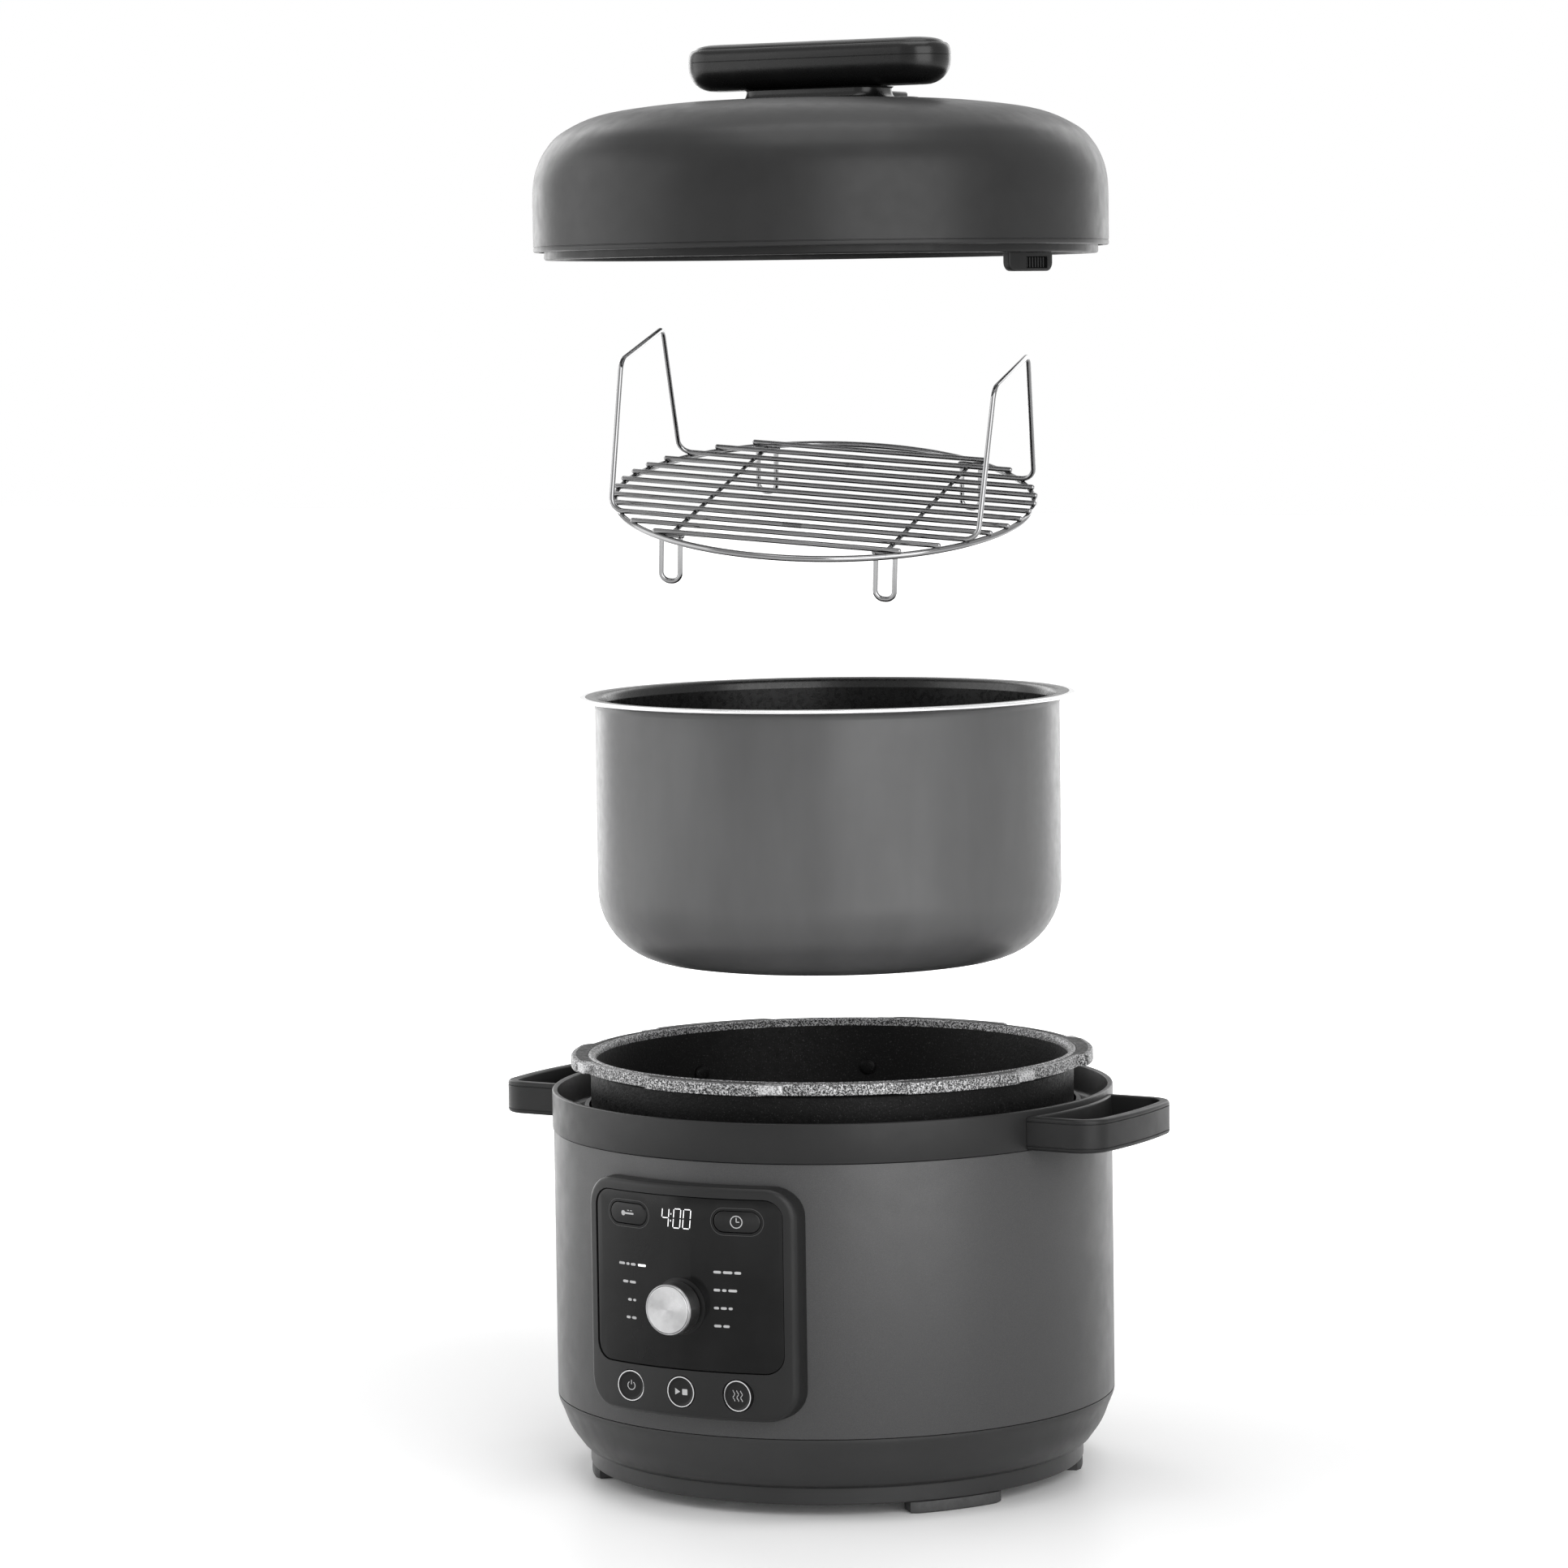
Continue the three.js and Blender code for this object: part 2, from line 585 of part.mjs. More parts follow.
// Bezel: a proud frame on the shell, holding the lens, with bored holes for the three round keys.
function panelBezel() {
  const proud = faceLayer(BODY_R + GAP, PANEL_FACE_R, panelBlock(0, -PANEL_FACE_R - 5, -BODY_R / 2));
  const throatBlock = panelBlock(PANEL_TAPER + 5 + GAP, -BODY_R - 5, -BODY_R / 2);
  const throat = faceLayer(BODY_R - 12, BODY_R + GAP + 1, throatBlock);
  const pocket = faceLayer(lensR - LENS_THICKNESS - GAP, PANEL_FACE_R + 1, lensOutline(0));
  const behind = faceLayer(BODY_R - 13, BODY_R - 4, panelBlock(PANEL_TAPER + 8, -BODY_R - 5, -BODY_R / 2));
  const window = box(-WINDOW_HALF_WIDTH - GAP, WINDOW_HALF_WIDTH + GAP, -PANEL_FACE_R, -BODY_R / 2,
    PILL_Z - WINDOW_HALF_HEIGHT - GAP, PILL_Z + WINDOW_HALF_HEIGHT + GAP);
  return cut(join(proud, throat), pocket, behind, window, dialHole(2), roundKeyHoles(GAP), pillHoles(GAP));
}

function panelLens() {
  const sheet = faceLayer(lensR - LENS_THICKNESS, lensR, lensOutline(GAP));
  return cut(sheet, dialHole(1), pillHoles(GAP));
}

function roundKey(x) {
  const front = keyFaceY(x, PANEL_FACE_R - 0.3) - 0.4;
  const stem = boss(x, BUTTON_Z, BUTTON_R, front, front + KEY_THICKNESS + 4, 24);
  const back = front + KEY_THICKNESS + 4;
  return join(stem, boss(x, BUTTON_Z, 2, back - 0.5, keyBoardY - GAP - BUTTON_TRAVEL - 0.1));
}

function pillKey(x) {
  const front = keyFaceY(x, lensR) - 0.3;
  const back = front + KEY_THICKNESS + 4;
  return join(pill(x, 0, front, back), boss(x, PILL_Z, 2, back - 0.5, keyBoardY - GAP - BUTTON_TRAVEL - 0.1));
}

const keyBoardY = -BODY_R + BOARD_DEPTH;

function controlBoard() {
  const board = box(-44, 44, keyBoardY, keyBoardY + BOARD_THICKNESS, PANEL_BOTTOM_Z + 13, panelTopZ - 14);
  const chips = [[-20, 86], [18, 84], [-28, 120], [26, 126]].map(([x, z]) =>
    box(x - 6, x + 6, keyBoardY - 2.4, keyBoardY + 0.5, z - 5, z + 5));
  return join(board, ...chips);
}

function displayModule() {
  const frontY = keyFaceY(WINDOW_HALF_WIDTH, lensR - LENS_THICKNESS) + 2 * GAP;
  const [half, rise] = [WINDOW_HALF_WIDTH, WINDOW_HALF_HEIGHT];
  return box(-half, half, frontY, keyBoardY - GAP, PILL_Z - rise, PILL_Z + rise);
}

function encoderBody() {
  const backY = keyBoardY - GAP;
  const body = box(-8, 8, backY - 6, backY, DIAL_Z - 8, DIAL_Z + 8);
  return cut(body, boss(0, DIAL_Z, DIAL_STEM_R + GAP, backY - 7, backY - 1));
}

const dialBackY = -PANEL_FACE_R - GAP - 0.5;

function dialKnob() {
  const body = boss(0, DIAL_Z, DIAL_R, -DIAL_FACE_R + DIAL_CAP_DEPTH, dialBackY, BIG);
  return join(body, boss(0, DIAL_Z, DIAL_STEM_R, dialBackY - 0.5, keyBoardY - GAP - 2));
}

function dialCap() {
  const back = -DIAL_FACE_R + DIAL_CAP_DEPTH - GAP;
  const rise = DIAL_CAP_DEPTH - GAP;
  const profile = [[0, 0], [DIAL_CAP_R, 0], [DIAL_CAP_R, rise - 0.4], [DIAL_CAP_R - 0.6, rise], [0, rise]];
  return turned(profile, BIG).rotate([90, 0, 0]).translate([0, back, DIAL_Z]);
}

// Mains board on four posts over the bottom cover.
function powerBoard() {
  const [x0, x1, y0, y1, z] = [-96, -48, 22, 62, 30];
  const board = box(x0, x1, y0, y1, z, z + BOARD_THICKNESS);
  const blocks = [[-88, 34, 8], [-70, 50, 14], [-58, 32, 10]].map(([x, y, height]) =>
    box(x - 6, x + 6, y - 6, y + 6, z + 1, z + BOARD_THICKNESS + height));
  const posts = [[x0 + 4, y0 + 4], [x1 - 4, y0 + 4], [x1 - 4, y1 - 4], [x0 + 16, y1 - 4]].map(([x, y]) =>
    disc(2.5, coverTopZ + GAP, z + 0.5, 8).translate([x, y, 0]));
  return join(board, ...blocks, ...posts);
}

// Rear socket for the removable lead, flanged onto the shell.
function powerInlet() {
  const face = BODY_R + 2;
  const inside = BODY_R - INLET_DEPTH;
  const [half, rise] = [INLET_HALF_WIDTH, INLET_HALF_HEIGHT];
  const flange = box(-half - 5, half + 5, BODY_R + GAP, face, INLET_Z - rise - 4, INLET_Z + rise + 4);
  const body = box(-half, half, inside, BODY_R + 1, INLET_Z - rise, INLET_Z + rise);
  return cut(join(flange, body), inletHollow(0, inside + INLET_FLOOR, face + 1));
}

// The socket's hollow, or a block that stays a clearance inside it.
function inletHollow(inset, y0, y1) {
  const half = INLET_HALF_WIDTH - INLET_WALL - inset;
  const rise = INLET_HALF_HEIGHT - INLET_WALL - inset;
  return box(-half, half, y0, y1, INLET_Z - rise, INLET_Z + rise);
}

// Three flat pins on an insulating plate that lies on the floor of the socket.
function inletContacts() {
  const floorY = BODY_R - INLET_DEPTH + INLET_FLOOR + GAP;
  const plate = inletHollow(GAP, floorY, floorY + 1.5);
  const pins = [[-7, 2], [0, -4], [7, 2]].map(([x, z]) =>
    box(x - 1, x + 1, floorY + 1, floorY + INLET_PIN_LENGTH, INLET_Z + z - 2.5, INLET_Z + z + 2.5));
  return join(plate, ...pins);
}

const cupTopZ = CUP_Z + CUP_HEIGHT;
const hookZ = cupTopZ + 4;

// Bracket on the back of the shell with an upright lip that the cup hooks over.
function cupBracket() {
  const plate = box(-16, 16, BODY_R + GAP, BODY_R + 2.8, CUP_Z + 6, hookZ - 2);
  const shelf = box(-16, 16, BODY_R + 2, BODY_R + 6.6, hookZ - 13, hookZ - 10);
  const lip = box(-16, 16, BODY_R + 4.8, BODY_R + 6.6, hookZ - 12, hookZ - 3);
  return join(plate, shelf, lip);
}

// Removable cup that catches condensation, hung on the bracket by its hooked back wall.
function condensationCup() {
  const [innerY, outerY] = [BODY_R + 7.2, DIAL_FACE_R];
  const shell = box(-CUP_HALF_WIDTH, CUP_HALF_WIDTH, innerY, outerY, CUP_Z, cupTopZ);
  const side = CUP_HALF_WIDTH - CUP_WALL;
  const hollow = box(-side, side, innerY + CUP_WALL, outerY - CUP_WALL, CUP_Z + CUP_WALL, cupTopZ + 1);
  const back = box(-14, 14, innerY, innerY + CUP_WALL, cupTopZ - 2, hookZ);
  const bridge = box(-14, 14, BODY_R + 3.4, innerY + CUP_WALL, hookZ - CUP_WALL, hookZ);
  const hook = box(-14, 14, BODY_R + 3.2, BODY_R + 4.3, hookZ - 9, hookZ);
  return join(cut(shell, hollow), back, bridge, hook);
}

// ---- inner pot ------------------------------------------------------------------------------

function innerPot() {
  const lipUnder = POT_HEIGHT - POT_LIP_THICKNESS;
  const inner = POT_R - POT_WALL;
  return turned([
    [0, 0], ...arc(POT_R - POT_CORNER, POT_CORNER, POT_CORNER, -90, 0, 5),
    [POT_R, lipUnder - 2], [POT_R + 2, lipUnder], [POT_LIP_R - 0.5, lipUnder], [POT_LIP_R, lipUnder + 0.6],
    [POT_LIP_R - 0.3, POT_HEIGHT], [POT_R + 0.5, POT_HEIGHT], [inner, POT_HEIGHT - 3],
    ...arc(POT_R - POT_CORNER, POT_CORNER, POT_CORNER - POT_WALL, 0, -90, 4),
    [0, POT_WALL],
  ]);
}

// ---- wire rack ------------------------------------------------------------------------------
// Level, centred on its ring; bars run along X.

const barPitch = (-2 * FRONT_BAR_OFFSET) / (BAR_COUNT - 1);
const barZ = RING_WIRE_R + BAR_WIRE_R - 0.4;
const loopY = -FRONT_BAR_OFFSET - LOOP_BAR_INDEX * barPitch;

function straightBar(y, ringR = RACK_R) {
  const half = Math.sqrt(ringR * ringR - y * y);
  return tube([new THREE.Vector3(-half, y, barZ), new THREE.Vector3(half, y, barZ)], BAR_WIRE_R);
}

// Stretch of the ring between two angles. Its front is a separate piece, and each joint has a gap.
function ringArc(start, end) {
  const steps = Math.ceil(((end - start) / 360) * BIG);
  const points = [];
  for (let i = 0; i <= steps; i += 1) {
    const angle = (start + ((end - start) * i) / steps) * DEG;
    points.push(new THREE.Vector3(RACK_R * Math.cos(angle), RACK_R * Math.sin(angle), 0));
  }
  return tube(points, RING_WIRE_R);
}

const frontArcStart = RACK_HINGE_ANGLE - RACK_FRONT_ARC_HALF_ANGLE;
const frontArcEnd = RACK_HINGE_ANGLE + RACK_FRONT_ARC_HALF_ANGLE;
const arcGapAngle = GAP / RACK_R / DEG;

// Two bars and both tall handles, bent from one wire.
function handleLoop() {
  const at = (x, y, z) => new THREE.Vector3(x, y, z);
  const foot = LOOP_X - 1.5;
  const half = [at(-5, loopY, barZ), at(foot, loopY, barZ), at(LOOP_X, LOOP_TOP_HALF, LOOP_HEIGHT),
    at(LOOP_X, -LOOP_TOP_HALF, LOOP_HEIGHT), at(foot, -loopY, barZ), at(-5, -loopY, barZ)];
  const other = half.map((p) => at(-p.x, p.y, p.z));
  return join(wire(half, BAR_WIRE_R, 8), wire(other, BAR_WIRE_R, 8));
}

// An under-wire across the bars, bent down into a hairpin foot at each end.
function underWire(x) {
  const at = (y, z, side = 0) => new THREE.Vector3(x + side, y, z);
  const underZ = barZ - 2 * BAR_WIRE_R + 0.4;
  const edge = Math.sqrt(RACK_R * RACK_R - x * x) - 7;
  const footZ = -LEG_HEIGHT + BAR_WIRE_R;
  const hairpin = (sign) => wire([
    at(sign * edge, underZ, -LEG_HALF_WIDTH), at(sign * (edge + 1), footZ, -LEG_HALF_WIDTH),
    at(sign * (edge + 1), footZ, LEG_HALF_WIDTH), at(sign * edge, underZ, LEG_HALF_WIDTH),
  ], BAR_WIRE_R, 4.5);
  const run = tube([at(-edge, underZ), at(edge, underZ)], BAR_WIRE_R);
  const cross = [-1, 1].map((sign) => tube(
    [at(sign * edge, underZ, -LEG_HALF_WIDTH - 1), at(sign * edge, underZ, LEG_HALF_WIDTH + 1)], BAR_WIRE_R));
  return join(run, hairpin(1), hairpin(-1), ...cross);
}

function rackGrid() {
  const bars = [];
  for (let i = 0; i < BAR_COUNT; i += 1) {
    if (i !== LOOP_BAR_INDEX && i !== BAR_COUNT - 1 - LOOP_BAR_INDEX) {
      bars.push(straightBar(FRONT_BAR_OFFSET + barPitch * i));
    }
  }
  const ring = ringArc(frontArcEnd, frontArcStart + 360);
  return join(ring, handleLoop(), underWire(-LEG_X), underWire(LEG_X), ...bars);
}

// ---- lid ------------------------------------------------------------------------------------
// Drawn with the lower edge of the dome at z = 0.

// The outer curve of the dome, from its lower edge to the middle of its top, offset inward.
function domeCurve(inset) {
  const outer = [
    [LID_R, 0], [LID_R, LID_WALL_HEIGHT], [LID_R, 27.1], [146.9, 35.5], [144.8, 43.8], [140.4, 52.2],
    [132.3, 60.5], [113.9, 68.9], [86, 73.4], [58, 75.4], [0, LID_HEIGHT],
  ];
  return outer.map(([r, z], i) => {
    const lean = Math.min(1, Math.max(0, (i - 2) / 5));
    return [Math.max(r - inset * (1 - 0.6 * lean), 0), z - (i < 3 ? 0 : inset * lean)];
  });
}

function lidDome() {
  const outside = domeCurve(0);
  const inside = domeCurve(LID_WALL).filter((point, i) => i === 0 || i % 2 === 0 || i > 8).reverse();
  const dome = turned([...outside, ...inside]);
  const valveWell = disc(VALVE_R + 1.5, 40, LID_HEIGHT + 5).translate([0, VALVE_Y, 0]);
  const floatHole = disc(FLOAT_R + 1.5, 40, LID_HEIGHT + 5, SMALL).translate([FLOAT_X, FLOAT_Y, 0]);
  const screwHoles = NECK_SCREW_X.map((x) => disc(3, 60, 90, SMALL).translate([x, 0, 0]));
  return cut(dome, valveWell, floatHole, ...screwHoles);
}

// Plastic rim that closes the dome's lower edge, with a web reaching up to the pressure plate.
function lidRim() {
  const outer = LID_R - LID_WALL - GAP;
  return turned([
    [RIM_INNER_R + 0.6, -RIM_DROP], [RIM_OUTER_R - 0.8, -RIM_DROP], [RIM_OUTER_R, -RIM_DROP + 1],
    [RIM_OUTER_R, 1], [outer, 1.4], [outer, 6], [RIM_OUTER_R, 6], [RIM_OUTER_R, 18],
    [RIM_OUTER_R - 2.2, 18], [RIM_OUTER_R - 2.2, 6], [RIM_OUTER_R - 2.2, -1], [RIM_INNER_R + 0.6, -1],
  ]);
}

const plateR = RIM_OUTER_R - 2.2 - GAP;
const pressureTopZ = PRESSURE_PLATE_EDGE_Z + PRESSURE_PLATE_RISE;

// Steel pressure plate: a shallow pan with a skirt that carries the inward locking lugs.
function pressurePlate() {
  const t = PRESSURE_PLATE_THICKNESS;
  const skirt = turned([
    [plateR - t, LID_LUG_Z], [plateR, LID_LUG_Z], [plateR, PRESSURE_PLATE_EDGE_Z - 2],
    [plateR - 2, PRESSURE_PLATE_EDGE_Z], [SEAL_INNER_R, PRESSURE_PLATE_EDGE_Z], [108, pressureTopZ - 1],
    [104, pressureTopZ], [0, pressureTopZ], [0, pressureTopZ - t], [103, pressureTopZ - t],
    [107, pressureTopZ - t - 1], [SEAL_INNER_R - 1, PRESSURE_PLATE_EDGE_Z - t],
    [plateR - t, PRESSURE_PLATE_EDGE_Z - t],
  ].reverse());
  const pitch = 360 / LUG_COUNT;
  let plate = skirt;
  for (let i = 0; i < LUG_COUNT; i += 1) {
    const middle = LUG_START_ANGLE + pitch * i;
    const [from, to] = [middle - LID_LUG_HALF_ANGLE, middle + LID_LUG_HALF_ANGLE];
    const lugTopZ = LID_LUG_Z + LID_LUG_THICKNESS;
    plate = join(plate, sector(LID_LUG_INNER_R, plateR - 0.5, from, to, LID_LUG_Z, lugTopZ));
  }
  const ventHole = disc(VENT_R + GAP, 20, 50, SMALL).translate([0, VALVE_Y, 0]);
  const floatHole = disc(FLOAT_R + 2 + GAP, 20, 50, SMALL).translate([FLOAT_X, FLOAT_Y, 0]);
  const studHoles = NECK_SCREW_X.map((x) => disc(3 + GAP, 20, 50, SMALL).translate([x, 0, 0]));
  return cut(plate, ventHole, floatHole, ...studHoles);
}

// Silicone ring hanging under the edge of the pressure plate, resting on the pot's lip when closed.
function sealingRing() {
  const top = PRESSURE_PLATE_EDGE_Z - PRESSURE_PLATE_THICKNESS - GAP;
  const inner = SEAL_INNER_R + 2.5;
  const outer = plateR - PRESSURE_PLATE_THICKNESS - 2.5;
  return turned([
    [outer - 8, top - 3.2], [outer - 2, top - 2.4], [outer, top - 1.6], [outer, top], [inner + 2, top],
    [inner, top - 1.2], [inner + 4, top - 3.2],
  ]);
}

function ventPipe() {
  const top = pressureTopZ + 22;
  const pipe = disc(VENT_R, pressureTopZ - PRESSURE_PLATE_THICKNESS - 4, top, SMALL);
  const nut = disc(VENT_R + 4, pressureTopZ + GAP, pressureTopZ + 6, 6);
  return cut(join(pipe, nut), disc(VENT_BORE_R, 20, top + 1, SMALL)).translate([0, VALVE_Y, 0]);
}

// Slotted steel cup over the inner end of the vent pipe.
function ventShield() {
  const top = pressureTopZ - PRESSURE_PLATE_THICKNESS - GAP;
  const low = top - 9;
  let cup = turned([
    [0, low], [11, low], [12, low + 1], [12, top], [10.8, top], [10.8, low + 1.4], [0, low + 1.4],
  ], MEDIUM);
  for (let i = 0; i < 2; i += 1) {
    cup = cut(cup, box(-20, 20, -1.5, 1.5, low + 3, top - 2).rotate([0, 0, 90 * i + 45]));
  }
  return cup.translate([0, VALVE_Y, 0]);
}

// Steam valve: a loose-fitting weight over the vent pipe with a small grip on top.
function steamValve() {
  const low = pressureTopZ + 8;
  const top = LID_HEIGHT + 3;
  const weight = turned([
    [VENT_R + 0.6, low], [VALVE_R - 3, low], [VALVE_R, low + 4], [VALVE_R, top - 2], [VALVE_R - 1.5, top],
    [0, top], [0, pressureTopZ + 24], [VENT_R + 0.6, pressureTopZ + 24],
  ], MEDIUM);
  const grip = box(-2.2, 2.2, -VALVE_R + 2, VALVE_R - 2, top - 1, top + 3);
  return join(weight, grip).translate([0, VALVE_Y, 0]);
}

const floatSeatZ = pressureTopZ - PRESSURE_PLATE_THICKNESS;

function floatValve() {
  const top = domeTopAt(Math.hypot(FLOAT_X, FLOAT_Y)) - 1;
  return turned([
    [0, floatSeatZ - 10], [FLOAT_R, floatSeatZ - 10], [FLOAT_R, pressureTopZ + 6 + GAP],
    [FLOAT_R + 1, pressureTopZ + 6 + GAP], [FLOAT_R + 1, pressureTopZ + 9], [FLOAT_R, pressureTopZ + 9],
    [FLOAT_R, top], [0, top],
  ], SMALL).translate([FLOAT_X, FLOAT_Y, 0]);
}

// Height of the dome's outside at a distance from its middle, on its broad upper curve.
function domeTopAt(radius) {
  const curve = domeCurve(0);
  for (let i = curve.length - 1; i > 0; i -= 1) {
    const [[outerR, outerZ], [innerR, innerZ]] = [curve[i - 1], curve[i]];
    if (radius <= outerR) return innerZ + ((outerZ - innerZ) * (radius - innerR)) / (outerR - innerR);
  }
  return 0;
}

// Bush in the pressure plate that guides the float valve.
function floatBush() {
  const hole = FLOAT_R + FLOAT_CLEARANCE;
  const low = floatSeatZ - 5;
  return turned([
    [hole, low], [FLOAT_R + 5, low], [FLOAT_R + 5, floatSeatZ - GAP], [FLOAT_R + 2, floatSeatZ - GAP],
    [FLOAT_R + 2, pressureTopZ + GAP], [FLOAT_R + 5, pressureTopZ + GAP], [FLOAT_R + 5, pressureTopZ + 6],
    [hole, pressureTopZ + 6],
  ], SMALL).translate([FLOAT_X, FLOAT_Y, 0]);
}

// Tab under the rim that stands the lid in the slot of a side handle.
function lidRestTab() {
  const [inner, outer] = [RIM_INNER_R + 0.6, RIM_OUTER_R - 0.6];
  const halfAngle = Math.asin(TAB_HALF_WIDTH / outer) / DEG;
  const top = -RIM_DROP - GAP;
  const tab = sector(inner, outer, TAB_ANGLE - halfAngle, TAB_ANGLE + halfAngle, -TAB_DROP, top);
  const slot = sector(outer - 2.5, outer + 1, TAB_ANGLE - halfAngle * 0.3, TAB_ANGLE + halfAngle * 0.75,
    -TAB_DROP + 1.5, top - 1.5);
  return cut(tab, slot);
}

const gripZ = LID_HEIGHT + GRIP_CLEAR;

// A bar with round ends, narrowing downward, seen from above as a rounded rectangle.
function barLayer(inset, z0, z1) {
  const radius = GRIP_WIDTH / 2 - inset - 0.5;
  const shape = roundedRectangle(GRIP_LENGTH - 2 * inset, GRIP_WIDTH - 2 * inset, radius);
  return slab(shape, z0, z1, 3);
}

function lidHandle() {
  const steps = [[8, 0], [3, 2.4], [0, 8]];
  const layers = steps.map(([inset, up], i) => {
    const next = i + 1 < steps.length ? steps[i + 1][1] : GRIP_HEIGHT;
    return barLayer(inset, gripZ + up, gripZ + next);
  });
  const seat = barLayer(3, gripZ + GRIP_HEIGHT - 1.5, gripZ + GRIP_HEIGHT + 1);
  const hole = disc(NECK_SCREW_R + GAP, gripZ - 1, gripZ + 12, SMALL);
  const holes = NECK_SCREW_X.map((x) => hole.translate([x, 0, 0]));
  return cut(join(...layers), seat, ...holes);
}

// Long cap let into the top of the handle.
function handleCap() {
  const low = gripZ + GRIP_HEIGHT - 1.5 + GAP;
  return join(barLayer(3 + GAP, low, low + 2.6), barLayer(6, low + 2.6, low + GRIP_CAP_HEIGHT));
}

// Foot of the handle, widening down onto the dome.
function handleNeck() {
  const underZ = LID_HEIGHT + 0.1;
  const flare = roundedRectangle(NECK_LENGTH + NECK_FLARE, NECK_WIDTH + NECK_FLARE, 12);
  const post = roundedRectangle(NECK_LENGTH, NECK_WIDTH, 12);
  const holes = NECK_SCREW_X.map((x) => disc(NECK_SCREW_R + GAP, 60, 100, SMALL).translate([x, 0, 0]));
  return cut(join(slab(flare, underZ, underZ + 1.5), slab(post, underZ, gripZ - GAP)), ...holes);
}

// Long screw from inside the lid up into the handle.
function handleScrew(x) {
  const seatZ = pressureTopZ - PRESSURE_PLATE_THICKNESS - GAP;
  const shank = disc(NECK_SCREW_R, seatZ - 2, gripZ + 10, SMALL);
  const head = disc(5, seatZ - 2.4, seatZ, SMALL);
  const spacer = disc(4.5, pressureTopZ + GAP, LID_HEIGHT - LID_WALL - 1, SMALL);
  const slot = box(-6, 6, -0.6, 0.6, seatZ - 3, seatZ - 1.6);
  return cut(join(shank, head, spacer), slot).translate([x, 0, 0]);
}

// ---- assembly -------------------------------------------------------------------------------

const group = new THREE.Group();
const lidGroup = new THREE.Group();
const potGroup = new THREE.Group();
const rackGroup = new THREE.Group();
const rackTiltGroup = new THREE.Group();
const rackBodyGroup = new THREE.Group();

function place(parent, name, solid, look, spinZ = 0) {
  const mesh = new THREE.Mesh(toGeometry(solid), material(...look));
  mesh.name = name;
  mesh.rotation.z = spinZ;
  parent.add(mesh);
}

place(group, 'base_shell', baseShell(), PAINTED_STEEL);
place(group, 'base_skirt', baseSkirt(), PLASTIC);
place(group, 'bottom_cover', bottomCover(), DARK_PLASTIC);
FOOT_ANGLES.forEach((angle, i) => place(group, `foot_${i + 1}`, foot(angle), RUBBER));
COVER_SCREW_ANGLES.forEach((angle, i) =>
  place(group, `cover_screw_${i + 1}`, onCircle(coverScrew(), COVER_SCREW_CIRCLE_R, angle), STEEL));
place(group, 'top_collar', topCollar(), PLASTIC);
place(group, 'side_handle_right', sideHandle(), PLASTIC);
place(group, 'side_handle_left', sideHandle(), PLASTIC, Math.PI);
place(group, 'cooker_liner', cookerLiner(), CAST);
place(group, 'heating_plate', heatingPlate(), ALUMINIUM);
place(group, 'heating_element', heatingElement(), STEEL);
place(group, 'temperature_probe', temperatureProbe(), ALUMINIUM);
place(group, 'probe_spring', probeSpring(), STEEL);
place(group, 'probe_cup', probeCup(), STEEL);
place(group, 'thermal_fuse', thermalFuse(), DARK_PLASTIC);
place(group, 'panel_bezel', panelBezel(), PLASTIC);
place(group, 'panel_lens', panelLens(), GLASSY);
place(group, 'display_module', displayModule(), GLASSY);
place(group, 'control_board', controlBoard(), BOARD);
place(group, 'encoder_body', encoderBody(), STEEL);
place(group, 'dial_knob', dialKnob(), PAINTED_STEEL);
place(group, 'dial_cap', dialCap(), ALUMINIUM);
place(group, 'temp_button', pillKey(-PILL_X), GLASSY);
place(group, 'time_button', pillKey(PILL_X), GLASSY);
place(group, 'power_button', roundKey(-BUTTON_X), DARK_PLASTIC);
place(group, 'start_stop_button', roundKey(0), DARK_PLASTIC);
place(group, 'keep_warm_button', roundKey(BUTTON_X), DARK_PLASTIC);
place(group, 'power_board', powerBoard(), BOARD);
place(group, 'power_inlet', powerInlet(), DARK_PLASTIC);
place(group, 'inlet_contacts', inletContacts(), STEEL);
place(group, 'cup_bracket', cupBracket(), DARK_PLASTIC);
place(group, 'condensation_cup', condensationCup(), DARK_PLASTIC);

potGroup.position.z = POT_REST_Z;
place(potGroup, 'inner_pot', innerPot(), POT_COAT);
group.add(potGroup);

// The rack leans back about the tangent at the front of its ring.
const toFront = new THREE.Vector3(Math.cos(RACK_HINGE_ANGLE * DEG), Math.sin(RACK_HINGE_ANGLE * DEG), 0);
const tangent = new THREE.Vector3(-toFront.y, toFront.x, 0);
rackGroup.rotation.z = RACK_TURN * DEG;
rackGroup.position.copy(toFront).applyAxisAngle(new THREE.Vector3(0, 0, 1), RACK_TURN * DEG);
rackGroup.position.multiplyScalar(-RACK_OFFSET).setZ(RACK_REST_Z);
rackTiltGroup.position.copy(toFront).multiplyScalar(RACK_R);
rackTiltGroup.quaternion.setFromAxisAngle(tangent, RACK_TILT * DEG);
rackBodyGroup.position.copy(toFront).multiplyScalar(-RACK_R);
const frontArc = ringArc(frontArcStart + arcGapAngle, frontArcEnd - arcGapAngle);
place(rackBodyGroup, 'rack_front_arc', frontArc, STEEL);
place(rackBodyGroup, 'rack_grid', rackGrid(), STEEL);
rackTiltGroup.add(rackBodyGroup);
rackGroup.add(rackTiltGroup);
group.add(rackGroup);

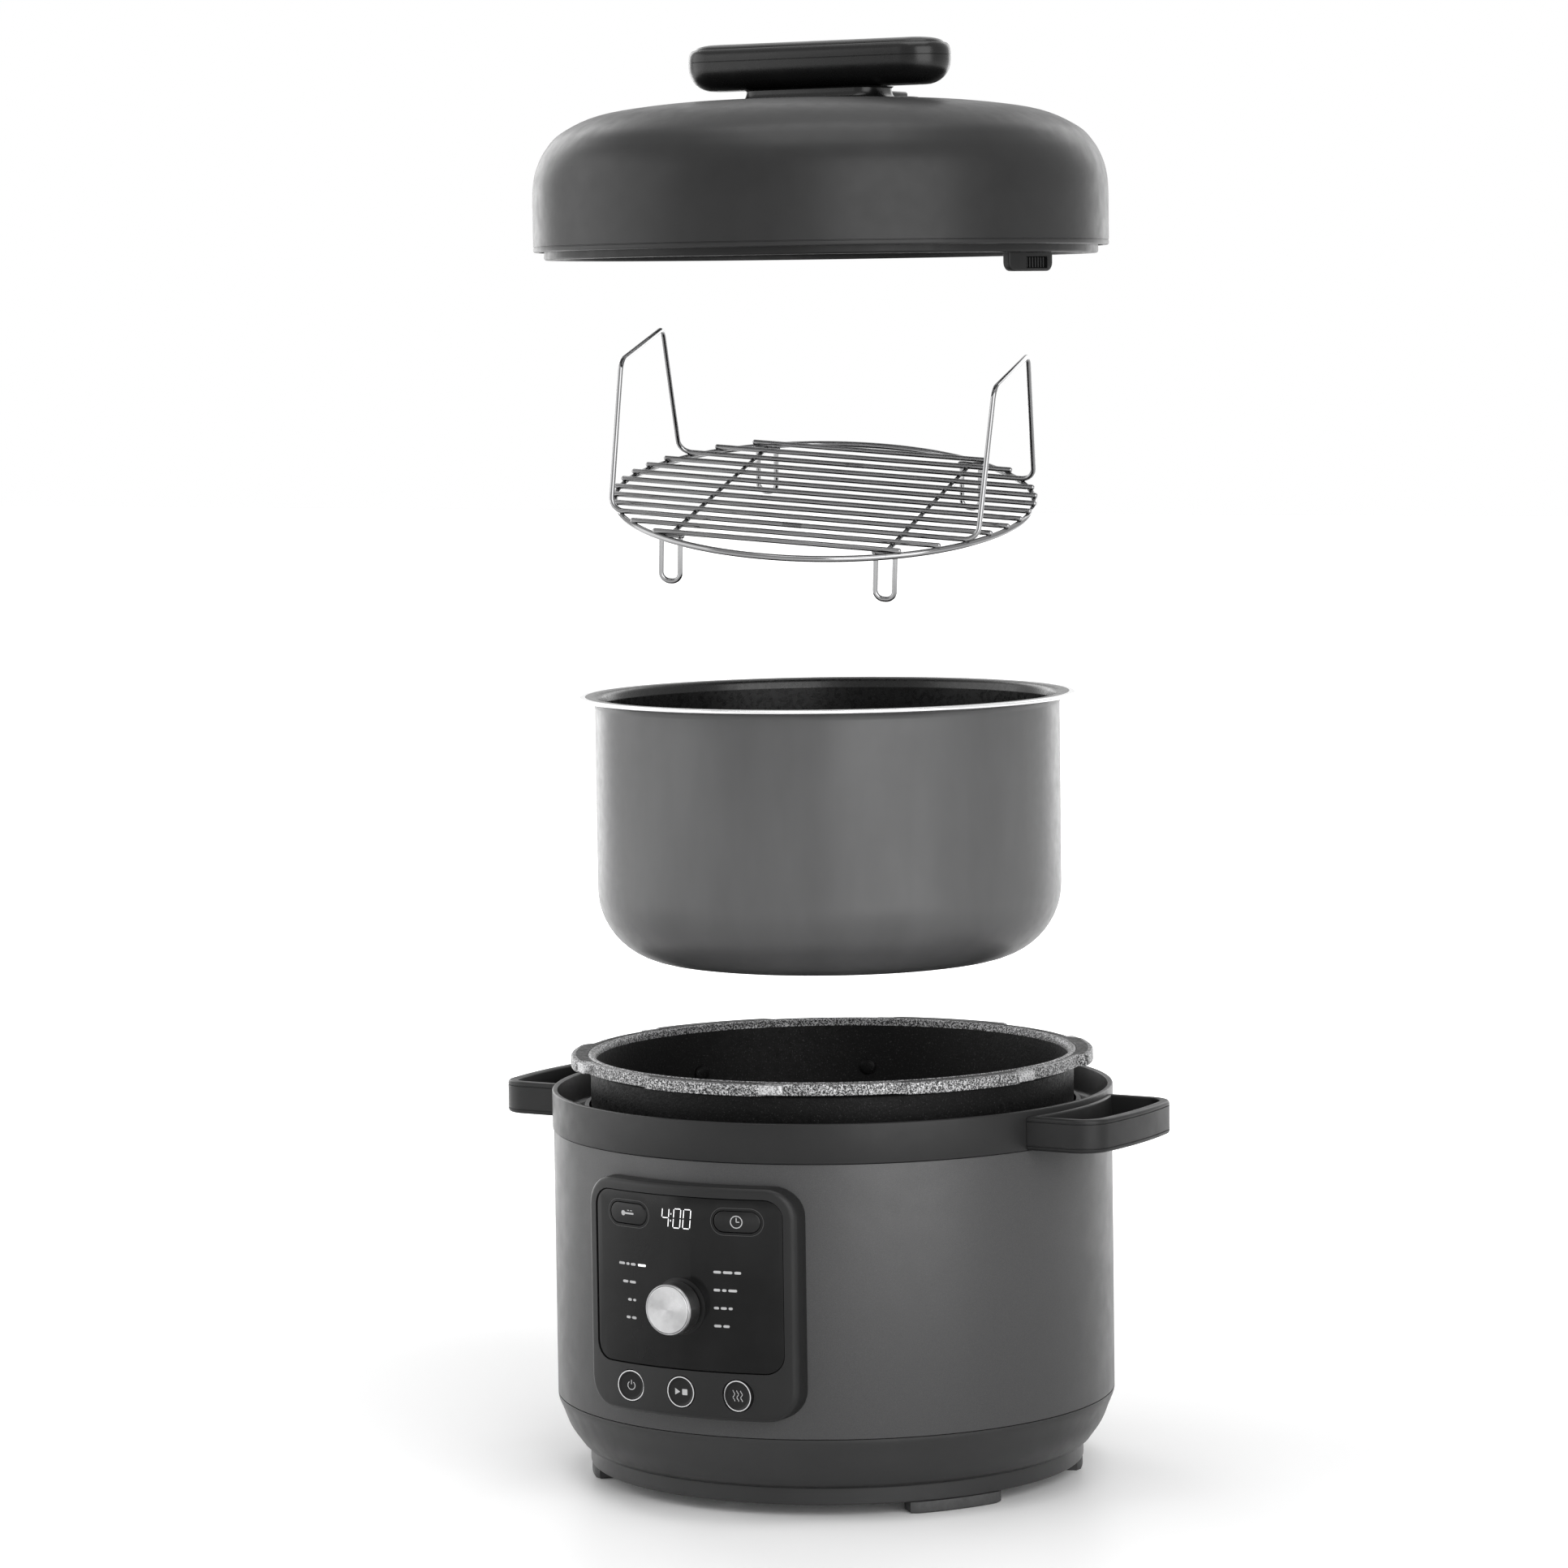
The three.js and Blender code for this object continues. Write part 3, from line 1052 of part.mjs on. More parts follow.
lidGroup.position.z = LID_REST_Z;
place(lidGroup, 'lid_dome', lidDome(), PLASTIC);
place(lidGroup, 'lid_rim', lidRim(), DARK_PLASTIC);
place(lidGroup, 'pressure_plate', pressurePlate(), STEEL);
place(lidGroup, 'sealing_ring', sealingRing(), RUBBER);
place(lidGroup, 'vent_pipe', ventPipe(), STEEL);
place(lidGroup, 'vent_shield', ventShield(), STEEL);
place(lidGroup, 'steam_valve', steamValve(), DARK_PLASTIC);
place(lidGroup, 'float_valve', floatValve(), STEEL);
place(lidGroup, 'float_bush', floatBush(), RUBBER);
place(lidGroup, 'lid_rest_tab', lidRestTab(), DARK_PLASTIC);
place(lidGroup, 'handle_neck', handleNeck(), DARK_PLASTIC);
place(lidGroup, 'lid_handle', lidHandle(), DARK_PLASTIC);
place(lidGroup, 'handle_cap', handleCap(), PLASTIC);
NECK_SCREW_X.forEach((x, i) => place(lidGroup, `handle_screw_${i + 1}`, handleScrew(x), STEEL));
group.add(lidGroup);

export default group;
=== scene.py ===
import json
import math

import bmesh
import bpy
from mathutils import Matrix, Quaternion, Vector

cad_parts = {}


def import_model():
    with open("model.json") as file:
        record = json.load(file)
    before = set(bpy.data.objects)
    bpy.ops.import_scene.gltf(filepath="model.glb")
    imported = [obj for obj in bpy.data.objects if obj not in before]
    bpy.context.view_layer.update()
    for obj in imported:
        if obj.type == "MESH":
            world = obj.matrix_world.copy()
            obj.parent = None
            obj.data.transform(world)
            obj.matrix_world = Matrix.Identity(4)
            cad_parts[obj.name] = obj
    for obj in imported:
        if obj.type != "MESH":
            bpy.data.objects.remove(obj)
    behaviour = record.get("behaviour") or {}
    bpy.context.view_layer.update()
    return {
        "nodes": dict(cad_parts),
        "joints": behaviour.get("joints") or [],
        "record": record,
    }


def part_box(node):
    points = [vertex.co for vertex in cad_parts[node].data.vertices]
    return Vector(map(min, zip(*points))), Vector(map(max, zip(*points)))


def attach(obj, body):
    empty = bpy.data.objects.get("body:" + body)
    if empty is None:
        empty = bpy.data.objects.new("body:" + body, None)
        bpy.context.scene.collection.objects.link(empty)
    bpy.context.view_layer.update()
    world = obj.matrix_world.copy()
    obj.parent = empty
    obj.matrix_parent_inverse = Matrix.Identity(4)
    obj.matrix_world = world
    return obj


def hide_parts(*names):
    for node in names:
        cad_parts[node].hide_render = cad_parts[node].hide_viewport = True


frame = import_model()

MM = 0.001  # shapes below are drawn in millimetres, in the CAD frame
ROUND = 192  # segments of a large turned piece
SMALL_ROUND = 64


def span(node):
    """Lowest and highest corner of a CAD node, in millimetres."""
    low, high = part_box(node)
    return low / MM, high / MM


def joint(name):
    return next(j for j in frame["joints"] if j["name"] == name)


# ---- shapes: a shape is (vertices, faces), or (vertices, faces, zones) ----------------------


def corner(before, at, after, radius, steps=5):
    """Points of the arc that rounds the corner at 'at'."""
    a, p, b = Vector(before), Vector(at), Vector(after)
    u, v = a - p, b - p
    half = u.angle(v) / 2
    reach = min(radius / max(math.tan(half), 1e-6), 0.48 * u.length, 0.48 * v.length)
    p0, p2, weight = p + u.normalized() * reach, p + v.normalized() * reach, math.sin(half)
    points = []
    for i in range(steps + 1):
        t = i / steps
        k0, k1, k2 = (1 - t) ** 2, 2 * weight * t * (1 - t), t * t
        points.append((p0 * k0 + p * k1 + p2 * k2) / (k0 + k1 + k2))
    return points


def rounded(points, closed=False, steps=5):
    """A 2-D outline of (x, y) or (x, y, radius) points with its corners rounded."""
    result, count = [], len(points)
    for i, point in enumerate(points):
        at = point[:2]
        inner = closed or 0 < i < count - 1
        if len(point) > 2 and inner:
            result += corner(points[i - 1][:2], at, points[(i + 1) % count][:2], point[2], steps)
        else:
            result.append(Vector(at))
    return [tuple(p) for p in result]


def spline(points, steps=6):
    """A smooth curve through 2-D points."""
    p = [Vector(q[:2]) for q in points]
    p = [2 * p[0] - p[1], *p, 2 * p[-1] - p[-2]]
    result = []
    for i in range(1, len(p) - 2):
        for k in range(steps):
            t = k / steps
            a = 2 * p[i] + (p[i + 1] - p[i - 1]) * t
            b = (2 * p[i - 1] - 5 * p[i] + 4 * p[i + 1] - p[i + 2]) * t * t
            c = (3 * p[i] - p[i - 1] - 3 * p[i + 1] + p[i + 2]) * t**3
            result.append(tuple((a + b + c) / 2))
    return result + [tuple(p[-2])]


def lathe(profile, segments=ROUND, shift=None, zones=None):
    """Turns (radius, z) points about Z. shift(radius, z, angle) adds to the radius; zones give each
    stretch of the profile its material."""
    closed = profile[0][0] > 1e-6
    vertices, rings = [], []
    for r, z in profile:
        if r < 1e-6:
            rings.append([len(vertices)] * segments)
            vertices.append((0, 0, z))
            continue
        rings.append(list(range(len(vertices), len(vertices) + segments)))
        for k in range(segments):
            angle = 2 * math.pi * k / segments
            reach = r + (shift(r, z, angle) if shift else 0)
            vertices.append((reach * math.cos(angle), reach * math.sin(angle), z))
    faces, marks = [], []
    count = len(profile) if closed else len(profile) - 1
    for i in range(count):
        low, high = rings[i], rings[(i + 1) % len(profile)]
        for k in range(segments):
            n = (k + 1) % segments
            face = list(dict.fromkeys([low[k], low[n], high[n], high[k]]))
            if len(face) > 2:
                faces.append(face)
                marks.append(zones[i] if zones else 0)
    return vertices, faces, marks


def loft(rings, capped=True):
    """Joins rings of equally many points, with flat ends."""
    count = len(rings[0])
    vertices = [tuple(p) for ring in rings for p in ring]
    faces = []
    for i in range(len(rings) - 1):
        for k in range(count):
            n = (k + 1) % count
            faces.append([i * count + k, i * count + n, (i + 1) * count + n, (i + 1) * count + k])
    if capped:
        faces.append(list(range(count))[::-1])
        faces.append(list(range((len(rings) - 1) * count, len(rings) * count)))
    return vertices, faces


def quarter(steps):
    """(1 - sin, 1 - cos) at even steps of a quarter turn, from which a rounded edge is drawn."""
    turns = [math.pi / 2 * i / steps for i in range(steps + 1)]
    return [(1 - math.sin(a), 1 - math.cos(a)) for a in turns]


def level(outline, z):
    """A flat outline as a ring at one height."""
    return [(x, y, z) for x, y in outline]


def block(outline, z0, z1, low_edge=1.0, high_edge=1.0, steps=4):
    """A slab whose outline(inset) is drawn in X and Y, with its lower and upper edges rounded."""
    low = [level(outline(low_edge * s), z0 + low_edge * c) for s, c in quarter(steps)]
    high = [level(outline(high_edge * c), z1 - high_edge * s) for s, c in quarter(steps)]
    return loft(low + high)


def rectangle(width, height, radius, x=0.0, y=0.0, steps=8):
    """outline(inset) of a rectangle with round corners."""

    def outline(inset=0.0):
        w, h, r = width / 2 - inset, height / 2 - inset, max(radius - inset, 0.05)
        corners = ((w - r, h - r, 0), (r - w, h - r, 90), (r - w, r - h, 180), (w - r, r - h, 270))
        points = []
        for cx, cy, start in corners:
            for k in range(steps + 1):
                a = math.radians(start + 90 * k / steps)
                points.append((x + cx + r * math.cos(a), y + cy + r * math.sin(a)))
        return points

    return outline


def sector(r0, r1, a0, a1, corner_radius=1.0, steps=14):
    """outline(inset) of a ring sector, angles in degrees."""

    def outline(inset=0.0):
        low, high = r0 + inset, r1 - inset
        start, end = math.radians(a0) + inset / r1, math.radians(a1) - inset / r1
        turn = corner_radius / r1
        points = []
        for radius, sign in ((high, 1), (low, -1)):
            for k in range(steps + 1):
                t = k / steps if sign > 0 else 1 - k / steps
                a = start + (end - start) * t
                near = min(a - start, end - a)
                nearness = min(1, (near + 1e-4) / turn) * math.pi / 2
                dip = corner_radius * (1 - math.sin(nearness)) * 0.8
                r = radius - sign * dip
                points.append((r * math.cos(a), r * math.sin(a)))
        return points

    return outline


WIRE_END = ((0.4, 0.92), (0.8, 0.6))  # how far past the end, and how thick, in wire radii


def sweep(path, radius, sides=12):
    """A round wire along a 3-D path, with rounded ends."""
    points = [Vector(p) for p in path]
    turns = [2 * math.pi * k / sides for k in range(sides)]
    circle = [(math.cos(t), math.sin(t)) for t in turns]
    normal = None
    rings = []
    for i, p in enumerate(points):
        first, last = i == 0, i == len(points) - 1
        along = (points[i if last else i + 1] - points[i if first else i - 1]).normalized()
        if normal is None:
            normal = along.orthogonal().normalized()
        normal = (normal - along * normal.dot(along)).normalized()
        side = along.cross(normal)
        stops = [(0, 1)]
        if first:
            stops = [(-reach, size) for reach, size in WIRE_END[::-1]] + stops
        if last:
            stops += WIRE_END
        for reach, size in stops:
            middle = p + along * radius * reach
            rings.append([middle + (normal * c + side * d) * radius * size for c, d in circle])
    return loft(rings)


def bent(points, radius, bend, steps=7):
    """A wire along straight runs, bent round at each corner."""
    path = [Vector(points[0])]
    for i in range(1, len(points) - 1):
        path += corner(points[i - 1], points[i], points[i + 1], bend, steps)
    path.append(Vector(points[-1]))
    return sweep(path, radius)


def together(*shapes):
    vertices, faces, zones = [], [], []
    for shape in shapes:
        start = len(vertices)
        vertices += shape[0]
        faces += [[start + i for i in face] for face in shape[1]]
        zones += list(shape[2]) if len(shape) > 2 else [0] * len(shape[1])
    return vertices, faces, zones


def moved(shape, change):
    """Each point of a shape put through a 4x4 matrix or a function."""
    if isinstance(change, Matrix):
        points = [tuple(change @ Vector(v)) for v in shape[0]]
    else:
        points = [change(*v) for v in shape[0]]
    return (points, *shape[1:])


def at(x=0.0, y=0.0, z=0.0):
    return Matrix.Translation((x, y, z))


def facing_front(x, y, z):
    """Puts a shape that is drawn about Z, its face at z = 0, upright with its face at (x, y, z)."""
    return lambda a, b, c: (x + a, y + c, z + b)


def scratch_object(shape):
    mesh = bpy.data.meshes.new("scratch")
    mesh.from_pydata([tuple(v) for v in shape[0]], [], shape[1])
    tidy_normals(mesh)
    made = bpy.data.objects.new("scratch", mesh)
    bpy.context.scene.collection.objects.link(made)
    return made


def tidy_normals(mesh):
    work = bmesh.new()
    work.from_mesh(mesh)
    bmesh.ops.recalc_face_normals(work, faces=work.faces)
    work.to_mesh(mesh)
    work.free()


def carve(shape, *tools):
    """The shape with each tool cut away."""
    base = scratch_object(shape)
    cutters = [scratch_object(tool) for tool in tools]
    for cutter in cutters:
        modifier = base.modifiers.new("carve", "BOOLEAN")
        modifier.operation = "DIFFERENCE"
        modifier.solver = "EXACT"
        modifier.object = cutter
    bpy.context.view_layer.update()
    mesh = base.evaluated_get(bpy.context.evaluated_depsgraph_get()).to_mesh()
    result = [tuple(v.co) for v in mesh.vertices], [list(p.vertices) for p in mesh.polygons]
    for used in (base, *cutters):
        data = used.data
        bpy.data.objects.remove(used)
        bpy.data.meshes.remove(data)
    return result


def piece(name, shape, body, looks, replaced=(), sharp=32):
    """A finished Blender piece from a shape in millimetres."""
    mesh = bpy.data.meshes.new(name)
    mesh.from_pydata([(x * MM, y * MM, z * MM) for x, y, z in shape[0]], [], shape[1])
    looks = looks if isinstance(looks, (list, tuple)) else [looks]
    for look in looks:
        mesh.materials.append(look)
    if len(shape) > 2 and len(looks) > 1:
        mesh.polygons.foreach_set("material_index", shape[2])
    tidy_normals(mesh)
    mesh.shade_smooth()
    mesh.set_sharp_from_angle(angle=math.radians(sharp))
    made = bpy.data.objects.new(name, mesh)
    bpy.context.scene.collection.objects.link(made)
    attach(made, body)
    if replaced:
        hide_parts(*replaced)
    return made


# ---- materials ------------------------------------------------------------------------------


def grey(value):
    return (value, value, value * 1.01, 1)


class Finish:
    """A Principled material with procedural colour, roughness and surface relief."""

    def __init__(self, name, slot, metallic=0.0, coat=0.0, coat_roughness=0.05, specular=0.5):
        self.material = bpy.data.materials.new(name)
        self.material["slot"] = slot
        self.material.use_nodes = True
        self.tree = self.material.node_tree
        self.shader = self.tree.nodes["Principled BSDF"]
        self.shader.inputs["Metallic"].default_value = metallic
        self.shader.inputs["Coat Weight"].default_value = coat
        self.shader.inputs["Coat Roughness"].default_value = coat_roughness
        self.shader.inputs["Specular IOR Level"].default_value = specular
        self.place = self.node("ShaderNodeTexCoord").outputs["Object"]
        self.normal = None

    def node(self, kind, **settings):
        made = self.tree.nodes.new(kind)
        for key, value in settings.items():
            setattr(made, key, value)
        return made

    def link(self, source, target):
        self.tree.links.new(source, target)

    def stretched(self, stretch):
        mapping = self.node("ShaderNodeMapping")
        mapping.inputs["Scale"].default_value = stretch
        self.link(self.place, mapping.inputs["Vector"])
        return mapping.outputs["Vector"]

    def noise(self, size_mm, detail=3.0, stretch=None, roughness=0.55):
        made = self.node("ShaderNodeTexNoise")
        made.inputs["Scale"].default_value = 1 / (size_mm * MM)
        made.inputs["Detail"].default_value = detail
        made.inputs["Roughness"].default_value = roughness
        self.link(self.stretched(stretch) if stretch else self.place, made.inputs["Vector"])
        return made.outputs["Fac"]

    def cells(self, size_mm):
        made = self.node("ShaderNodeTexVoronoi")
        made.inputs["Scale"].default_value = 1 / (size_mm * MM)
        self.link(self.place, made.inputs["Vector"])
        return made.outputs["Distance"]

    def ramp(self, value, low, high, start=0.3, end=0.7):
        """Maps a 0..1 pattern onto low..high."""
        made = self.node("ShaderNodeMapRange")
        made.inputs["From Min"].default_value = start
        made.inputs["From Max"].default_value = end
        made.inputs["To Min"].default_value = low
        made.inputs["To Max"].default_value = high
        self.link(value, made.inputs["Value"])
        return made.outputs["Result"]

    def colour(self, value, dark, light, start=0.3, end=0.7):
        made = self.node("ShaderNodeMix", data_type="RGBA")
        made.inputs["A"].default_value = dark
        made.inputs["B"].default_value = light
        self.link(self.ramp(value, 0.0, 1.0, start, end), made.inputs["Factor"])
        self.link(made.outputs["Result"], self.shader.inputs["Base Color"])
        return made

    def roughness(self, value, low, high):
        self.link(self.ramp(value, low, high), self.shader.inputs["Roughness"])

    def relief(self, value, height_mm, strength=1.0):
        made = self.node("ShaderNodeBump")
        made.inputs["Distance"].default_value = height_mm * MM
        made.inputs["Strength"].default_value = strength
        self.link(value, made.inputs["Height"])
        if self.normal:
            self.link(self.normal, made.inputs["Normal"])
        self.normal = made.outputs["Normal"]
        self.link(self.normal, self.shader.inputs["Normal"])


def moulded(name, slot, value, low, high, grain_mm=0.35, depth_mm=0.01, specular=0.5):
    """Moulded plastic: a fine spark-eroded grain, faint colour drift and worn gloss."""
    look = Finish(name, slot, specular=specular)
    look.colour(look.noise(38, 2), grey(value * 0.9), grey(value * 1.12))
    look.roughness(look.noise(9, 4), low, high)
    look.relief(look.noise(grain_mm, 2), depth_mm)
    return look.material


def painted_metal(name, slot, value):
    """Satin metallic paint: tiny bright flakes over a soft orange-peel surface."""
    look = Finish(name, slot, metallic=0.25, specular=0.22)
    flake = look.noise(0.22, 1)
    look.colour(flake, grey(value * 0.86), grey(value * 1.25), 0.42, 0.68)
    look.roughness(look.noise(14, 3), 0.36, 0.44)
    look.relief(look.noise(0.9, 2), 0.006)
    look.relief(flake, 0.004)
    return look.material


def cast_metal(name, slot, value, spark, start=0.58, metallic=0.1):
    """Black coated sand casting: a pebbled skin with pale grains where the coating is thin."""
    look = Finish(name, slot, metallic=metallic, specular=0.14)
    pebble = look.noise(1.5, 4, roughness=0.7)
    look.colour(look.noise(0.9, 3, roughness=0.75), grey(value), grey(spark), start, start + 0.16)
    look.roughness(look.noise(2.4, 4), 0.38, 0.62)
    look.relief(pebble, 0.14)
    look.relief(look.cells(1.1), 0.06)
    return look.material


def drawn_metal(name, slot, value, low, high, stretch=(1, 1, 12), size_mm=0.6, depth_mm=0.004):
    """Bare metal with the fine scratches of its drawing or turning."""
    look = Finish(name, slot, metallic=1.0)
    scratch = look.noise(size_mm, 3, stretch)
    look.colour(look.noise(24, 3), grey(value * 0.92), grey(min(value * 1.08, 0.95)))
    look.roughness(scratch, low, high)
    look.relief(scratch, depth_mm)
    return look.material


def pot_outside(slot):
    """Satin anodised wall: fine turning lines round it, and a faint colour drift that changes slowly
    up the wall.
    """
    look = Finish("pot_outside", slot, metallic=0.15, specular=0.22)
    lines = look.noise(0.5, 2, (0.02, 0.02, 1))
    look.colour(look.noise(30, 3, (1, 1, 0.3)), grey(0.066), grey(0.08))
    look.roughness(look.noise(6, 3), 0.33, 0.4)
    look.relief(lines, 0.006)
    look.relief(look.noise(0.5, 2), 0.004)
    return look.material


def pot_inside(slot):
    """Non-stick coating: black, glossy and slightly pebbled."""
    look = Finish("pot_inside", slot, specular=0.3)
    look.colour(look.noise(0.7, 3), grey(0.003), grey(0.01), 0.5, 0.75)
    look.roughness(look.noise(3, 3), 0.22, 0.34)
    look.relief(look.noise(1.6, 3), 0.02)
    return look.material


def gloss_black(name, slot, value=0.006):
    """Hard gloss plastic: deep black with faint polishing marks and dust."""
    look = Finish(name, slot, specular=0.13)
    look.colour(look.noise(20, 2), grey(value), grey(value * 1.6))
    look.roughness(look.noise(5, 4), 0.1, 0.19)
    look.relief(look.noise(12, 2), 0.01)
    return look.material


def rubber(name, slot, value):
    look = Finish(name, slot)
    look.colour(look.noise(6, 3), grey(value * 0.85), grey(value * 1.2))
    look.roughness(look.noise(2, 3), 0.55, 0.75)
    look.relief(look.noise(0.25, 2), 0.02)
    return look.material


def spun_aluminium(slot):
    """A cap turned on a lathe: grooves round its middle give it a fan of light."""
    look = Finish("spun_aluminium", slot, metallic=1.0)
    look.shader.inputs["Anisotropic"].default_value = 0.85
    tangent = look.node("ShaderNodeTangent", direction_type="RADIAL", axis="Y")
    look.link(tangent.outputs["Tangent"], look.shader.inputs["Tangent"])
    look.colour(look.noise(5, 2), grey(0.34), grey(0.4))
    look.roughness(look.noise(0.4, 2), 0.26, 0.36)
    look.relief(look.noise(0.3, 2), 0.002)
    return look.material


def printed(name, slot, value, glow=0.0):
    """Screen print or a lit segment, with the faint unevenness of ink."""
    look = Finish(name, slot, specular=0.3)
    ink = look.colour(look.noise(0.5, 2), grey(value * 0.9), grey(value))
    look.roughness(look.noise(1, 2), 0.4, 0.6)
    if glow:
        look.link(ink.outputs["Result"], look.shader.inputs["Emission Color"])
        look.shader.inputs["Emission Strength"].default_value = glow
    return look.material


def board_lacquer(slot):
    look = Finish("board_lacquer", slot, coat=0.3, coat_roughness=0.2)
    look.colour(look.noise(3, 2), (0.012, 0.06, 0.035, 1), (0.02, 0.1, 0.055, 1))
    look.roughness(look.noise(2, 3), 0.35, 0.5)
    look.relief(look.noise(1.2, 2), 0.03)
    return look.material


charcoal = moulded("charcoal_plastic", "charcoal_plastic", 0.011, 0.36, 0.44, specular=0.19)
# The skirt is the same charcoal plastic, made lighter and shinier here: painted light in place of the
# lamp light on its lower curve.
skirt_lightened_plastic = moulded("skirt_lightened_plastic", "charcoal_plastic", 0.018, 0.36, 0.44, specular=0.3)
dome_plastic = moulded("dome_plastic", "charcoal_plastic", 0.013, 0.34, 0.42, 0.3, 0.006, 0.2)
dark = moulded("dark_plastic", "dark_plastic", 0.006, 0.34, 0.46, 0.4, 0.012, 0.16)
handle_plastic = moulded("handle_plastic", "dark_plastic", 0.005, 0.24, 0.32, 0.5, 0.006, 0.24)
paint = painted_metal("painted_steel", "painted_steel", 0.052)
knob_paint = drawn_metal("knob_metal", "painted_steel", 0.33, 0.26, 0.34, (1, 12, 1), 0.5)
casting = cast_metal("cast_aluminium", "cast_aluminium", 0.004, 0.05)
# Paler, more metallic casting with more pale grains, used on the flange's outer edge and on the bead
# inside the rim.
pale_edge_casting = cast_metal("pale_edge_casting", "cast_aluminium", 0.025, 0.5, 0.46, 0.6)
machined = cast_metal("machined_stop", "cast_aluminium", 0.12, 0.5, 0.4, 0.8)
turned_plate = drawn_metal("turned_plate", "bare_aluminium", 0.62, 0.28, 0.4)
spun = spun_aluminium("bare_aluminium")
pot_wall = pot_outside("coated_pot")
pot_lining = pot_inside("coated_pot")
pot_lip = drawn_metal("pot_lip", "coated_pot", 0.78, 0.1, 0.18, (1, 1, 4), 0.8, 0.002)
stainless = drawn_metal("stainless", "stainless", 0.56, 0.2, 0.34)
# The chromed wire's base value is kept low so the wires read grey: painted shade in place of a dark
# studio in their reflections.
chrome = drawn_metal("chromed_wire", "chromed_wire", 0.2, 0.08, 0.18, (1, 1, 1), 1.5, 0.004)
glossy = gloss_black("gloss_black", "gloss_black", 0.004)
key_gloss = gloss_black("key_gloss", "gloss_black", 0.009)
rubber_look = rubber("rubber", "rubber", 0.03)
silicone = rubber("silicone", "rubber", 0.22)
board = board_lacquer("circuit_board")
print_light = printed("light_print", "gloss_black", 0.42)
print_dim = printed("dim_print", "gloss_black", 0.045)
digit_glow = printed("digit_light", "gloss_black", 0.85, 0.6)
ring_metal = drawn_metal("key_ring", "bare_aluminium", 0.5, 0.25, 0.35, (1, 1, 1))

SLOT_LOOKS = {
    "charcoal_plastic": charcoal,
    "dark_plastic": dark,
    "painted_steel": paint,
    "cast_aluminium": casting,
    "bare_aluminium": turned_plate,
    "coated_pot": pot_wall,
    "stainless": stainless,
    "chromed_wire": chrome,
    "gloss_black": glossy,
    "rubber": rubber_look,
    "circuit_board": board,
}


def finish_cad_nodes():
    """Every CAD node gets its slot's finish, as the inner ones keep their CAD shape."""
    for part in frame["record"]["subparts"]:
        node = frame["nodes"][part["node"]]
        look = SLOT_LOOKS[part["material_slot"]]
        node.data.materials.clear()
        node.data.materials.append(look)


# ---- base -----------------------------------------------------------------------------------

shell_low, shell_high = span("base_shell")
BODY_R = shell_high.x
SEAM_Z = shell_low.z
SHELL_TOP_Z = shell_high.z
collar_low, collar_high = span("top_collar")
COLLAR_R = collar_high.x
COLLAR_TOP_Z = collar_high.z
skirt_low = span("base_skirt")[0]
foot_high = span("foot_1")[1]
bezel_low, bezel_high = span("panel_bezel")
PANEL_FACE_R = -bezel_low.y
GAP = 0.3
SHELL_WALL = 1.0
COLLAR_WALL = 3.0
CHANNEL_DROP = COLLAR_TOP_Z - 185.5
STEP_R = 128.5
STEP_HEIGHT = 8.6


def base_shell():
    wall, edge = BODY_R - SHELL_WALL, 0.3
    profile = rounded(
        [(wall, SEAM_Z), (BODY_R, SEAM_Z, edge), (BODY_R, SHELL_TOP_Z, edge), (wall, SHELL_TOP_Z)],
        steps=3,
    )
    inlet_low, inlet_high = span("power_inlet")
    opening = block(rectangle(108, 101, 10, 0, (bezel_low.z + bezel_high.z) / 2), 0, 90, 0, 0)
    window = moved(opening, lambda x, y, z: (x, -80 - z, y))
    hole = block(rectangle(34, 28, 2, 0, (inlet_low.z + inlet_high.z) / 2), 0, 30, 0, 0)
    socket = moved(hole, lambda x, y, z: (x, 125 + z, y))
    piece("shell", carve(lathe(profile, 240), window, socket), "base", paint, ["base_shell"])


def base_skirt():
    low = skirt_low.z
    step_top = low + STEP_HEIGHT
    bowl = spline(
        [
            (STEP_R + 4.2, step_top + 2.6), (138.8, 26.3), (142.3, 34.7), (144.6, 40.2),
            (BODY_R, SEAM_Z - GAP),
        ]
    )
    profile = rounded(
        [
            (STEP_R - 2.6, low), (STEP_R, low, 0.8), (STEP_R, step_top, 0.8),
            (STEP_R + 2.6, step_top + 1.2, 1.2),
        ]
    )
    inner = [(BODY_R - 1.4, SEAM_Z - GAP), (BODY_R - 1.4, SEAM_Z + 7), (BODY_R - 3.6, SEAM_Z + 7)]
    inner += [(BODY_R - 4, SEAM_Z - 2), (135.5, 27.5), (128, 19)]
    inner += [(104.5, 12.4), (104.5, 9.4), (STEP_R - 2.6, 9.4)]
    piece("skirt", lathe(profile + bowl + inner), "base", skirt_lightened_plastic, ["base_skirt"], sharp=40)


def feet():
    for i in range(4):
        low, high = span(f"foot_{i + 1}")
        middle = (low + high) / 2
        angle = math.degrees(math.atan2(middle.y, middle.x))
        pad = block(sector(114.5, 128, angle - 12, angle + 12, 2.0), 0, foot_high.z, 1.2, 0.4)
        piece(f"rubber_foot_{i + 1}", pad, "base", rubber_look, [f"foot_{i + 1}"])


def top_collar():
    inner = COLLAR_R - COLLAR_WALL
    channel = COLLAR_TOP_Z - CHANNEL_DROP
    neck = 126.5
    profile = rounded(
        [
            (neck, channel - 2.4), (BODY_R - 3.6, channel - 2.4), (BODY_R - 3.6, collar_low.z),
            (BODY_R - 1.4, collar_low.z), (BODY_R - 1.4, SHELL_TOP_Z + GAP),
            (COLLAR_R, SHELL_TOP_Z + GAP, 0.3), (COLLAR_R, COLLAR_TOP_Z, 0.9),
            (inner + 0.3, COLLAR_TOP_Z, 0.8), (inner - 0.8, channel, 2.5), (neck + 2.5, channel, 1.5),
            (neck + 2.5, channel + 7, 0.8), (neck, channel + 7, 0.5),
        ],
        steps=4,
    )
    piece("collar", lathe(profile, 240), "base", charcoal, ["top_collar"], sharp=40)


